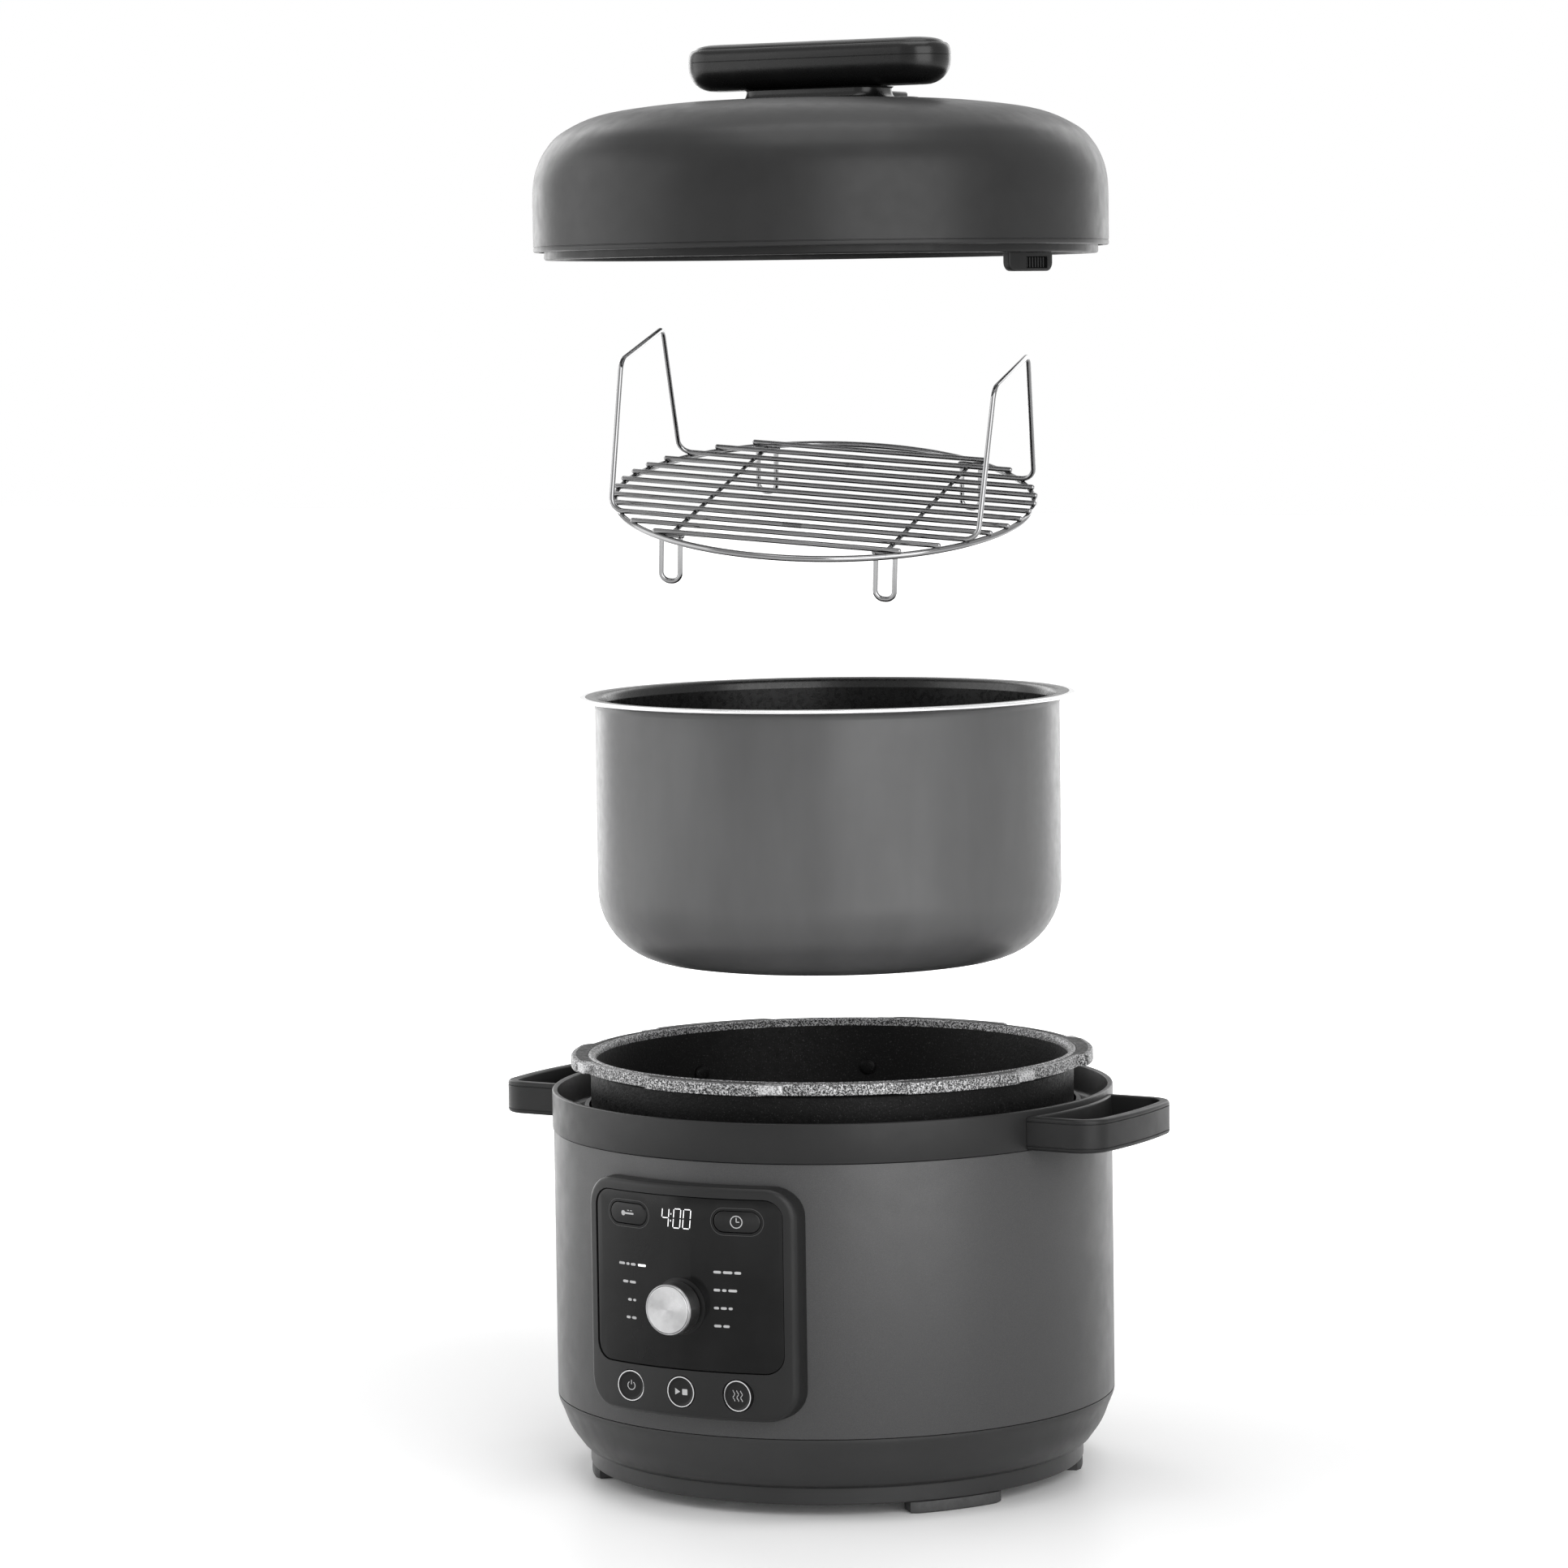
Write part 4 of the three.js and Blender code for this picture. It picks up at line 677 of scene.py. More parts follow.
HANDLE_RIM = 5.0
HANDLE_FLOOR = 3.0
HANDLE_CORNER = 15.0
HANDLE_BOW = 2.5  # how far the middle of the outer side stands out
HANDLE_SEAM_INSET = 2.3
SEAM = ((0, -0.35), (0.5, -0.2), (0.5, 0.2), (0, 0.35))  # a parting line: depth, height
DRAIN_SLOT_X = 161.0


def handle_outline(inset, off_body=0.0, steps=10):
    """A side handle seen from above: a D-shaped loop with a bowed outer side."""
    high = span("side_handle_right")[1]
    half, reach = high.y - inset, high.x + 0.9 - inset
    radius = max(HANDLE_CORNER - inset, 5)
    body = COLLAR_R + GAP + off_body
    start = math.asin(half / body)
    body_x = body * math.cos(start)
    edge_x = reach - radius - 3
    lean = math.asin(0.15)
    side_x, side_y = edge_x + radius * math.cos(lean), -half + radius - radius * math.sin(lean)

    def turn(first, sign):
        angles = [first + (math.pi / 2 - lean) * k / steps for k in range(steps + 1)]
        middle = sign * (half - radius)
        return [(edge_x + radius * math.cos(a), middle + radius * math.sin(a)) for a in angles]

    points = [(body_x + (edge_x - body_x) * k / steps, -half) for k in range(steps)]
    points += turn(-math.pi / 2, -1)
    for k in range(1, steps):
        t = k / steps
        points.append((side_x + HANDLE_BOW * 4 * t * (1 - t) * 0.9, side_y * (1 - 2 * t)))
    points += turn(lean, 1)
    points += [(edge_x + (body_x - edge_x) * k / steps, half) for k in range(1, steps)]
    angles = [start - 2 * start * k / (2 * steps) for k in range(2 * steps)]
    return points + [(body * math.cos(a), body * math.sin(a)) for a in angles]


def side_handles():
    low, high = span("side_handle_right")
    z0, z1 = low.z, high.z
    floor = z0 + HANDLE_FLOOR
    edge, lip, fillet = 1.6, 1.2, 2.5
    rings = []

    def ring(inset, z, off_body=0.0):
        rings.append(level(handle_outline(inset, off_body), z))

    for s, c in quarter(4):
        ring(edge * s, z0 + edge * c)
    for seam in (z0 + HANDLE_SEAM_INSET, z1 - HANDLE_SEAM_INSET):
        for inset, rise in SEAM:
            ring(inset, seam + rise)
    for s, c in quarter(4):
        ring(edge * c, z1 - edge * s)
    for s, c in quarter(4):
        ring(HANDLE_RIM - lip * s, z1 - lip * c, 1.6 - lip * s)
    for s, c in quarter(4):
        ring(HANDLE_RIM + 0.6 + fillet * c, floor + fillet * s, 2 + fillet * c)
    slot = block(rectangle(8, 40, 3, DRAIN_SLOT_X, 0), z0 - 2, floor + 2, 0, 0)
    loop = carve(loft(rings), slot)
    piece("handle_right", loop, "base", charcoal, ["side_handle_right"], sharp=40)
    other = moved(loop, Matrix.Rotation(math.pi, 4, "Z"))
    piece("handle_left", other, "base", charcoal, ["side_handle_left"], sharp=40)


LINER_R = 122.5
LINER_WALL = 2.8
LINER_CORNER = 16.0
FLANGE_R = 131.0
FLANGE_THICKNESS = 6.0
LUG_R = 135.5
LUGS = 6
LUG_START = 30
LUG_HALF = 15
LUG_RAMP = 2.6
STUD_ANGLES = (111, 155, 291, 335)
STUD_DROP = 26.0
STOP_HALF = 2.7


def lug_rise(angle):
    """1 on a locking lug, 0 between two, with a short ramp at each end."""
    pitch = 360 / LUGS
    away = abs((math.degrees(angle) - LUG_START + pitch / 2) % pitch - pitch / 2)
    t = min(max((LUG_HALF + LUG_RAMP / 2 - away) / LUG_RAMP, 0), 1)
    return t * t * (3 - 2 * t)


def zoned(*runs):
    """One profile out of (points, zone) runs, each of which starts where the one before ends."""
    profile, zones = [], []
    for run, zone in runs:
        profile += run[:-1]
        zones += [zone] * (len(run) - 1)
    return profile + [runs[-1][0][-1]], zones


def liner_studs(height):
    """Small domes on the inner wall that the pot's rim passes."""
    curve = spline([(4.6, 0), (4.2, 1.1), (2.6, 1.8), (0, 2.0)], 3)[::-1]
    dome = lathe(curve + [(4.6, -1.0), (0, -1.0)], 24)
    studs = []
    for angle in STUD_ANGLES:
        round_to = Matrix.Rotation(math.radians(angle), 4, "Z")
        inward = round_to @ Matrix.Translation((LINER_R, 0, height))
        studs.append(moved(dome, inward @ Matrix.Rotation(-math.pi / 2, 4, "Y")))
    return studs


def cooker_liner():
    low, high = span("cooker_liner")
    top, under, floor = high.z, high.z - FLANGE_THICKNESS, low.z + LINER_WALL
    outer, opening = LINER_R + LINER_WALL, span("heating_plate")[1].x - 6
    under_side = rounded(
        [
            (opening, floor - LINER_WALL), (outer, floor - LINER_WALL, 18), (outer, under, 2.5),
            (FLANGE_R - 0.6, under),
        ],
        steps=6,
    )
    edge = rounded(
        [
            (FLANGE_R - 0.6, under), (FLANGE_R, under, 0.8), (FLANGE_R, top - 0.2, 1.5),
            (FLANGE_R - 2.6, top),
        ],
        steps=6,
    )
    flat = [
        (FLANGE_R - 2.6, top), (LINER_R + 5.0, top - 0.1), (LINER_R + 4.4, top - 0.9),
        (LINER_R + 3.8, top - 0.6),
    ]
    bead = spline(
        [
            (LINER_R + 3.8, top - 0.6), (LINER_R + 3.1, top - 0.05), (LINER_R + 2.2, top),
            (LINER_R + 1.1, top - 0.6), (LINER_R + 0.4, top - 1.8), (LINER_R, top - 3.6),
        ],
        3,
    )
    inside = rounded([(LINER_R, top - 3.6), (LINER_R, floor, LINER_CORNER), (opening, floor)], steps=6)
    profile, zones = zoned((under_side, 0), (edge, 1), (flat, 0), (bead, 1), (inside, 0))

    def lugs(r, z, angle):
        return (LUG_R - FLANGE_R) * lug_rise(angle) if r > outer + 2.2 else 0

    body = together(lathe(profile, 360, lugs, zones + [0]), *liner_studs(top - STUD_DROP))
    piece("cast_liner", body, "base", [casting, pale_edge_casting], ["cooker_liner"], sharp=45)
    pads = []
    for i in range(LUGS):
        middle = LUG_START + i * 360 / LUGS + LUG_HALF + 1.6
        pad = sector(FLANGE_R - 1.5, LUG_R - 0.6, middle - STOP_HALF, middle + STOP_HALF, 0.6)
        pads.append(block(pad, under + 0.5, top - 0.5, 0.5, 0.5))
    piece("liner_stops", together(*pads), "base", machined)


PLATE_GROOVES = 18


def heating_plate():
    low, high = span("heating_plate")
    rim = high.x - 9
    hole = span("temperature_probe")[1].x + 2.5
    profile = [(hole, low.z), (rim, low.z), (rim, 72.3), (high.x, 72.3), (high.x, 75.5)]
    profile += rounded([(high.x, 75.5), (rim, 76, 1.2), (rim - 2, high.z, 1.5), (rim - 6, high.z)])
    turns = 2 * PLATE_GROOVES
    for i in range(1, turns):
        r = rim - 6 + (hole + 2 - rim + 6) * i / turns
        profile.append((r, high.z - (0.22 if i % 2 else 0.02)))
    profile += rounded([(hole + 2, high.z), (hole, high.z, 1.0), (hole, high.z - 3)])
    piece("hot_plate", lathe(profile), "base", turned_plate, ["heating_plate"], sharp=60)
    low, high = span("temperature_probe")
    r = high.x
    profile = rounded(
        [
            (0, low.z), (r - 1, low.z, 0.4), (r - 1, low.z + 3, 0.4), (r - 3, low.z + 3, 0.4),
            (r - 3, high.z - 10, 0.5), (r, high.z - 8, 0.5), (r, high.z, 1.2), (0, high.z),
        ],
        steps=3,
    )
    piece("probe_head", lathe(profile, SMALL_ROUND), "probe", spun, ["temperature_probe"])


# ---- control panel --------------------------------------------------------------------------

PANEL_WIDTH = bezel_high.x - bezel_low.x
PANEL_HEIGHT = bezel_high.z - bezel_low.z
PANEL_Z = (bezel_high.z + bezel_low.z) / 2
PANEL_CORNER = 15.0
LENS_BORDER = 5.5
LENS_R = 154.5
LENS_THICKNESS = 2.0
LENS_BOTTOM_Z = 77.0
INK_LOW, INK_HIGH = 0.005, 0.06  # a print's depth, above the face it is on
dial_low, dial_high = span("dial_knob")
DIAL_Z = (dial_low.z + dial_high.z) / 2
DIAL_R = (dial_high.z - dial_low.z) / 2
pill_low, pill_high = span("time_button")
PILL_X = (pill_low.x + pill_high.x) / 2
PILL_Z = (pill_low.z + pill_high.z) / 2
PILL_WIDTH = pill_high.x - pill_low.x
PILL_HEIGHT = pill_high.z - pill_low.z
key_low, key_high = span("keep_warm_button")
KEY_X = (key_low.x + key_high.x) / 2
KEY_Z = (key_low.z + key_high.z) / 2
KEY_R = (key_high.x - key_low.x) / 2


def as_face(shape):
    """Takes a slab drawn with its outline in X and Y, and makes it stand: X, radius, Z."""
    return moved(shape, lambda x, y, z: (x, z, y))


def curled(shape, pitch=2.0):
    """Wraps a standing slab (x, radius, z) onto the round front of the base."""
    work = bmesh.new()
    verts = [work.verts.new(v) for v in shape[0]]
    for face in shape[1]:
        try:
            work.faces.new([verts[i] for i in face])
        except ValueError:
            continue
    low, high = min(v[0] for v in shape[0]), max(v[0] for v in shape[0])
    x = math.ceil(low / pitch) * pitch
    while x < high:
        parts = work.verts[:] + work.edges[:] + work.faces[:]
        bmesh.ops.bisect_plane(work, geom=parts, plane_co=(x, 0, 0), plane_no=(1, 0, 0), dist=1e-5)
        x += pitch
    work.verts.index_update()
    points = [(v.co.x, -math.sqrt(v.co.y**2 - v.co.x**2), v.co.z) for v in work.verts]
    faces = [[v.index for v in face.verts] for face in work.faces]
    work.free()
    return points, faces


def round_slab(x, z, radius, r0, r1):
    return as_face(block(rectangle(2 * radius, 2 * radius, radius, x, z), r0, r1, 0, 0))


def pill_outline(x, grow):
    width, height = PILL_WIDTH + 2 * grow, PILL_HEIGHT + 2 * grow
    return rectangle(width, height, PILL_HEIGHT / 2 + grow, x, PILL_Z)


def pill_slab(x, grow, r0, r1, low_edge=0.0, high_edge=0.0):
    return as_face(block(pill_outline(x, grow), r0, r1, low_edge, high_edge))


def lens_outline(grow):
    width = PANEL_WIDTH - 2 * LENS_BORDER + 2 * grow
    top = bezel_high.z - LENS_BORDER
    height = top - LENS_BOTTOM_Z + 2 * grow
    return rectangle(width, height, PANEL_CORNER - LENS_BORDER + grow, 0, (top + LENS_BOTTOM_Z) / 2)


def panel():
    far = PANEL_FACE_R + 3
    outline = rectangle(PANEL_WIDTH, PANEL_HEIGHT, PANEL_CORNER, 0, PANEL_Z)
    bezel = as_face(block(outline, BODY_R + GAP, PANEL_FACE_R, 0.2, 2.6, 6))
    pocket = as_face(block(lens_outline(0), LENS_R - LENS_THICKNESS - GAP, far, 0, 0))
    holes = [round_slab(x, KEY_Z, KEY_R + GAP, 100, far) for x in (-KEY_X, 0, KEY_X)]
    holes += [pill_slab(x, GAP, 100, far) for x in (-PILL_X, PILL_X)]
    holes.append(round_slab(0, DIAL_Z, 7, 100, far))
    piece("bezel", curled(carve(bezel, pocket, *holes)), "base", charcoal, ["panel_bezel"], sharp=40)
    sheet = as_face(block(lens_outline(-GAP), LENS_R - LENS_THICKNESS, LENS_R, 0.1, 0.5))
    cuts = [pill_slab(x, GAP, 100, far) for x in (-PILL_X, PILL_X)]
    cuts.append(round_slab(0, DIAL_Z, 6, 100, far))
    piece("lens", curled(carve(sheet, *cuts)), "base", glossy, ["panel_lens"], sharp=40)


def decal(outline, radius=LENS_R):
    """A thin printed area on the lens."""
    return curled(as_face(block(outline, radius + INK_LOW, radius + INK_HIGH, 0, 0.02, 1)))


def band(outline_of, width, radius=LENS_R):
    """A thin printed line that follows an outline."""
    outer, inner = outline_of(0), outline_of(width)
    r0, r1 = radius + INK_LOW, radius + INK_HIGH
    edges = ((outer, r0), (outer, r1), (inner, r1), (inner, r0))
    rings = [[(x, r, z) for x, z in line] for line, r in edges]
    vertices, faces = loft(rings, capped=False)
    count = len(outer)
    for k in range(count):
        n = (k + 1) % count
        faces.append([3 * count + k, 3 * count + n, n, k])
    return curled((vertices, faces))


def bar_between(x0, z0, x1, z1, width):
    """outline(inset) of a straight stroke with pointed-round ends."""

    def outline(inset=0.0):
        along = Vector((x1 - x0, z1 - z0)).normalized()
        side = Vector((-along.y, along.x))
        side, along = side * (width / 2 - inset), along * (width / 2 - inset)
        a, b = Vector((x0, z0)), Vector((x1, z1))
        return [tuple(p) for p in (a - side, b - side, b + along, b + side, a + side, a - along)]

    return outline


LIT_SEGMENTS = {"4": "bcfg", "0": "abcdef"}
DIGIT_PLACES = ((-10.4, "4"), (-3.5, "0"), (2.2, "0"))
COLON_X = -5.1


def digits():
    """A four with a colon and two noughts: slim slanted seven-segment figures."""
    height, width, stroke, slant = 9.6, 4.0, 0.46, 0.10
    low = PILL_Z - height / 2
    strokes = []

    def line(left, x0, z0, x1, z1):
        x0, x1 = left + x0 + slant * z0, left + x1 + slant * z1
        strokes.append(decal(bar_between(x0, low + z0, x1, low + z1, stroke)))

    cut, mid = 0.5, height / 2
    runs = {
        "a": (cut, height, width - cut, height),
        "b": (width, mid + cut, width, height - cut),
        "c": (width, cut, width, mid - cut),
        "d": (cut, 0, width - cut, 0),
        "e": (0, cut, 0, mid - cut),
        "f": (0, mid + cut, 0, height - cut),
        "g": (cut, mid, width - cut, mid),
    }
    for left, digit in DIGIT_PLACES:
        for key in LIT_SEGMENTS[digit]:
            line(left, *runs[key])
    for z in (3.2, 6.6):
        line(COLON_X, 0, z, 0, z + 0.5)
    piece("display_digits", together(*strokes), "base", digit_glow)


LABEL_TOP_Z = 127.5
LABEL_PITCH = 9.0
LABEL_HEIGHT = 1.3
LABEL_CORNER = 0.7
WORD_GAP = 0.9
LEFT_LABELS = ((3.2, 2.2, 4.0), (4.2, 3.6), (2.0, 2.6), (3.0, 2.8))  # dash lengths, row by row
RIGHT_LABELS = ((4.2, 5.0, 3.6), (3.6, 2.4, 4.6), (2.8, 3.2, 2.2), (4.0, 3.4))
LEFT_LABEL_X, RIGHT_LABEL_X = -27.0, 19.0


def mode_marks():
    """Two columns of mode marks: rows of short rounded dashes in place of words, and a lit bar."""
    marks = []
    for row, (left, right) in enumerate(zip(LEFT_LABELS, RIGHT_LABELS)):
        z = LABEL_TOP_Z - row * LABEL_PITCH
        for x, lengths, way in ((LEFT_LABEL_X, left, -1), (RIGHT_LABEL_X, right, 1)):
            for length in lengths:
                dash = rectangle(length, LABEL_HEIGHT, LABEL_CORNER, x + way * length / 2, z, 3)
                marks.append(decal(dash))
                x += way * (length + WORD_GAP)
    piece("mode_marks", together(*marks), "base", print_light)
    lit = decal(rectangle(5.0, 1.2, 0.4, -23.0, LABEL_TOP_Z, 3))
    piece("mode_light", together(lit), "base", digit_glow)
    rings = [band(pill_outline(x, 1.7), 0.25) for x in (-PILL_X, PILL_X)]
    piece("pill_outlines", together(*rings), "base", print_dim)


def thermometer(x, z, top):
    """A stem, a bulb and two graduations."""
    return [
        decal(bar_between(x - 2.6, z, x + 3.4, z, 0.9), top),
        decal(rectangle(2.6, 2.6, 1.3, x - 3.2, z), top),
        decal(bar_between(x - 0.4, z + 1.5, x + 0.6, z + 1.5, 0.4), top),
        decal(bar_between(x + 1.6, z + 1.5, x + 2.6, z + 1.5, 0.4), top),
    ]


def clock(x, z, top):
    """A face with two hands."""
    return [
        band(rectangle(6.4, 6.4, 3.2, x, z), 0.45, top),
        decal(bar_between(x, z, x, z + 2.0, 0.45), top),
        decal(bar_between(x, z, x + 1.5, z, 0.45), top),
    ]


def pill_keys():
    top = LENS_R + 0.15
    upright = Matrix.Rotation(math.pi / 2, 4, "X")
    for key, x, icon in (("temp", -PILL_X, thermometer), ("time", PILL_X, clock)):
        body = key + "_key"
        cap = curled(pill_slab(x, 0, LENS_R - 6, top, 0.2, 0.7))
        stem = lathe([(0, 0), (2, 0), (2, 14), (0, 14)], 16)
        stem = moved(stem, Matrix.Translation((x, -136, PILL_Z)) @ upright)
        piece(f"{key}_key_cap", together(cap, stem), body, key_gloss, [f"{key}_button"])
        piece(f"{key}_key_cap_icon", together(*icon(x, PILL_Z, top)), body, print_light)


def flat_mark(outline, place):
    """A printed mark on a flat key's face."""
    x, y, z = place
    slab = block(outline, 0, 0.06, 0, 0.02, 1)
    return moved(slab, lambda a, b, c: (x + a, y - c, z + b))


def flat_ring(radius, width, place, turn=(0, 360), points=48):
    x, y, z = place
    start, end = (math.radians(t) for t in turn)
    angles = [start + (end - start) * k / points for k in range(points + 1)]
    outer = [(radius * math.cos(a), radius * math.sin(a)) for a in angles]
    inner = [(px * (1 - width / radius), pz * (1 - width / radius)) for px, pz in outer]
    line = outer + inner[::-1]
    slab = loft([level(line, depth) for depth in (0, 0.06)])
    return moved(slab, lambda a, b, c: (x + a, y - c, z + b))


def on_off_sign(face):
    """A broken ring and a stroke."""
    stroke = flat_mark(bar_between(0, 0.6, 0, 2.7, 0.4), face)
    return [flat_ring(2.3, 0.4, face, (125, 415)), stroke]


def start_stop_sign(face):
    """A triangle and a square."""
    corners = [(-3.4, -1.7), (-0.5, 0), (-3.4, 1.7)]
    triangle = flat_mark(lambda inset: [(a * (1 - inset), b * (1 - inset)) for a, b in corners], face)
    return [triangle, flat_mark(rectangle(3.0, 3.0, 0.4, 2.2, 0), face)]


def warmth_sign(face):
    """Three rising waves."""
    marks = []
    for middle in (-2.2, 0, 2.2):
        for k in range(8):
            z0, z1 = -2.6 + 0.65 * k, -2.6 + 0.65 * (k + 1)
            x0, x1 = (middle + 0.55 * math.sin(z * 1.9) for z in (z0, z1))
            marks.append(flat_mark(bar_between(x0, z0, x1, z1, 0.4), face))
    return marks


def round_keys():
    depth, stem = 8.0, 2
    for key, x, sign in (
        ("power", -KEY_X, on_off_sign),
        ("start_stop", 0.0, start_stop_sign),
        ("keep_warm", KEY_X, warmth_sign),
    ):
        node, body = key + "_button", key + "_key"
        low, high = span(node)
        front = low.y
        profile = rounded(
            [
                (0, 0.35), (KEY_R - 1.9, 0.35, 3), (KEY_R - 1.1, 0, 0.5), (KEY_R, 0.0, 0.6),
                (KEY_R, depth), (stem, depth),
            ],
            steps=4,
        )
        profile += [(stem, high.y - front), (0, high.y - front)]
        cap = moved(lathe(profile, SMALL_ROUND), facing_front(x, front, KEY_Z))
        piece(node + "_cap", cap, body, dark, [node])
        rim = flat_ring(KEY_R - 0.25, 0.5, (x, front + 0.02, KEY_Z))
        piece(node + "_ring", rim, body, ring_metal)
        marks = sign((x, front + 0.36, KEY_Z))
        piece(node + "_icon", together(*marks), body, print_light)


CAP_GROOVES = 22


def dial():
    low, high = span("dial_knob")
    front, back = low.y, -PANEL_FACE_R - 0.8
    length = back - front
    profile = rounded(
        [
            (0, 0.3), (DIAL_R - 1.2, 0.3), (DIAL_R - 0.9, -0.9, 0.3), (DIAL_R - 0.5, -0.9, 0.4),
            (DIAL_R, 0.3, 0.5), (DIAL_R, length - 1.0, 0.3), (DIAL_R - 0.6, length, 0.3), (3, length),
        ],
        steps=4,
    )
    profile += [(3, high.y - front), (0, high.y - front)]
    knob = moved(lathe(profile, 96), facing_front(0, front, DIAL_Z))
    piece("knob", knob, "dial", knob_paint, ["dial_knob"])
    radius, turns = DIAL_R - 1.1, 2 * CAP_GROOVES
    disc = [(0, 0.85), (radius, 0.85), (radius, 0.3), (radius - 0.4, 0.0)]
    for i in range(turns):
        disc.append(((radius - 0.4) * (1 - (i + 0.5) / turns), 0.035 if i % 2 else 0.0))
    disc.append((0, 0.0))
    cap = moved(lathe(disc, 96), facing_front(0, span("dial_cap")[0].y, DIAL_Z))
    piece("knob_cap", cap, "dial", spun, ["dial_cap"], sharp=60)
    # A thin matte dark ring on the lens round the knob's foot: painted shade of the gap between knob
    # and lens.
    gap_shade_r = DIAL_R + 1.5
    disc = rounded([(6, 0), (gap_shade_r, 0, 0.3), (gap_shade_r, 0.25, 0.2), (6, 0.25)], steps=2)
    seat = lathe(disc, SMALL_ROUND)
    seat = moved(seat, lambda a, b, c: (a, -math.sqrt(LENS_R**2 - a * a) - 0.02 - c, DIAL_Z + b))
    piece("knob_gap_shade", seat, "base", dark)


# ---- rear fittings --------------------------------------------------------------------------


CUP_BACK_Y = 152.2
CUP_WALL = 1.6
CUP_HOOK_DROP = 4.0


def upright(outline, y):
    """A ring that stands at one depth, from an outline in X and Z."""
    return [(x, y, z) for x, z in outline]


def power_inlet():
    low, high = span("power_inlet")
    middle = (low.z + high.z) / 2
    flange = rectangle(high.x - low.x, high.z - low.z, 4, 0, middle)
    throat, hollow = rectangle(33, 27, 3, 0, middle), rectangle(26, 20, 2.5, 0, middle)
    face, edge = high.y, ((0, -0.8), (0.25, -0.25), (0.8, 0))
    wall = BODY_R + GAP
    rings = [upright(throat(0), low.y), upright(throat(0), wall), upright(flange(0), wall)]
    rings += [upright(flange(inset), face + y) for inset, y in edge]
    rings += [upright(hollow(-inset), face + y) for inset, y in edge[::-1]]
    rings.append(upright(hollow(0), low.y + 4))
    piece("socket", loft(rings), "base", dark, ["power_inlet"], sharp=40)


def condensation_cup():
    low, high = span("condensation_cup")
    depth, y = high.y - CUP_BACK_Y, (CUP_BACK_Y + high.y) / 2
    top, width = high.z - CUP_HOOK_DROP, high.x - low.x
    outer = rectangle(width, depth, 4, 0, y)
    inner = rectangle(width - 2 * CUP_WALL, depth - 2 * CUP_WALL, 2.6, 0, y)
    walls = (
        (outer, 2.0, low.z), (outer, 0.6, low.z + 0.5), (outer, 0, low.z + 2), (outer, 0, top - 3),
        (outer, 0, top - 0.5), (outer, 0.4, top), (inner, -0.3, top), (inner, 0, top - 0.4),
        (inner, 0, low.z + 3), (inner, 1.5, low.z + CUP_WALL),
    )
    cup = loft([level(outline(inset), z) for outline, inset, z in walls])
    hook = [
        block(rectangle(28, 1.6, 0.5, 0, 153.0), top - 2, high.z, 0.3, 0.5),
        block(rectangle(28, 5.4, 0.6, 0, 151.1), high.z - 1.6, high.z, 0.3, 0.5),
        block(rectangle(28, 1.1, 0.4, 0, 148.75), high.z - 9, high.z, 0.3, 0.3),
    ]
    piece("drip_cup", together(cup, *hook), "cup", dark, ["condensation_cup"], sharp=40)


def cup_bracket():
    low, high = span("cup_bracket")
    back = rectangle(32, high.z - low.z, 3, 0, (low.z + high.z) / 2)
    bracket = [
        as_face(block(back, BODY_R + GAP, BODY_R + 2.8, 0.2, 0.6)),
        block(rectangle(32, 4.6, 0.8, 0, BODY_R + 4.3), high.z - 11, high.z - 8, 0.4, 0.4),
        block(rectangle(32, 1.8, 0.6, 0, BODY_R + 5.7), high.z - 10, high.z - 1, 0.4, 0.6),
    ]
    piece("cup_holder", together(*bracket), "base", dark, ["cup_bracket"], sharp=40)


# ---- inner pot ------------------------------------------------------------------------------


POT_R = 120.0
POT_WALL = 2.0
POT_CORNER = 38.0
LIP_THICKNESS = 1.8


def inner_pot():
    low, high = span("inner_pot")
    base, top, lip = low.z, high.z, high.x
    flare, inner, under = POT_R + 3.5, POT_R - POT_WALL, top - LIP_THICKNESS
    outside = rounded(
        [(0, base), (POT_R, base, POT_CORNER), (POT_R, top - 4, 3.5), (flare, under)], steps=14
    )
    edge = rounded([(flare, under), (lip, under, 0.9), (lip, top, 0.9), (lip - 3, top)], steps=5)
    inside = rounded(
        [
            (lip - 3, top), (inner + 1, top, 3), (inner, top - 5, 3),
            (inner, base + POT_WALL, POT_CORNER - POT_WALL), (0, base + POT_WALL),
        ],
        steps=14,
    )
    profile, zones = zoned((outside, 0), (edge, 1), (inside, 2))
    looks = [pot_wall, pot_lip, pot_lining]
    piece("cooking_pot", lathe(profile, 240, zones=zones), "pot", looks, ["inner_pot"], sharp=50)


# ---- wire rack ------------------------------------------------------------------------------

RACK_R = 108.0
RING_WIRE = 1.6
BAR_WIRE = 1.35
BARS = 13
FRONT_BAR = -88.0
LOOP_BAR = 2
LOOP_HEIGHT = 75.0
LOOP_X = 98.0
LOOP_TOP_HALF = 35.0
LEG_X = 56.0
LEG_HEIGHT = 25.0
LEG_HALF_WIDTH = 5.0
BAR_Z = RING_WIRE + BAR_WIRE - 0.4  # the bars are pressed into the ring at each weld
HINGE_ANGLE = -70.0  # the middle of the ring's front arc, in the rack's own frame
ARC_HALF_ANGLE = 12.0


def rack_place():
    """From the level rack's own frame to its leaning place, by the hinge that levels it."""
    tip = joint("rack_tip")
    axis = Vector(tip["axis"])
    pivot = Vector(tip["pos_m"]) / MM
    turn = math.atan2(axis.y, axis.x) - math.radians(HINGE_ANGLE + 90)
    hinge = math.radians(HINGE_ANGLE)
    front = Vector((math.cos(hinge), math.sin(hinge), 0)) * RACK_R
    lean = Matrix.Rotation(math.radians(-tip["range_deg"][0]), 4, axis)
    level_turn = Matrix.Rotation(turn, 4, "Z") @ Matrix.Translation(-front)
    return Matrix.Translation(pivot) @ lean @ level_turn


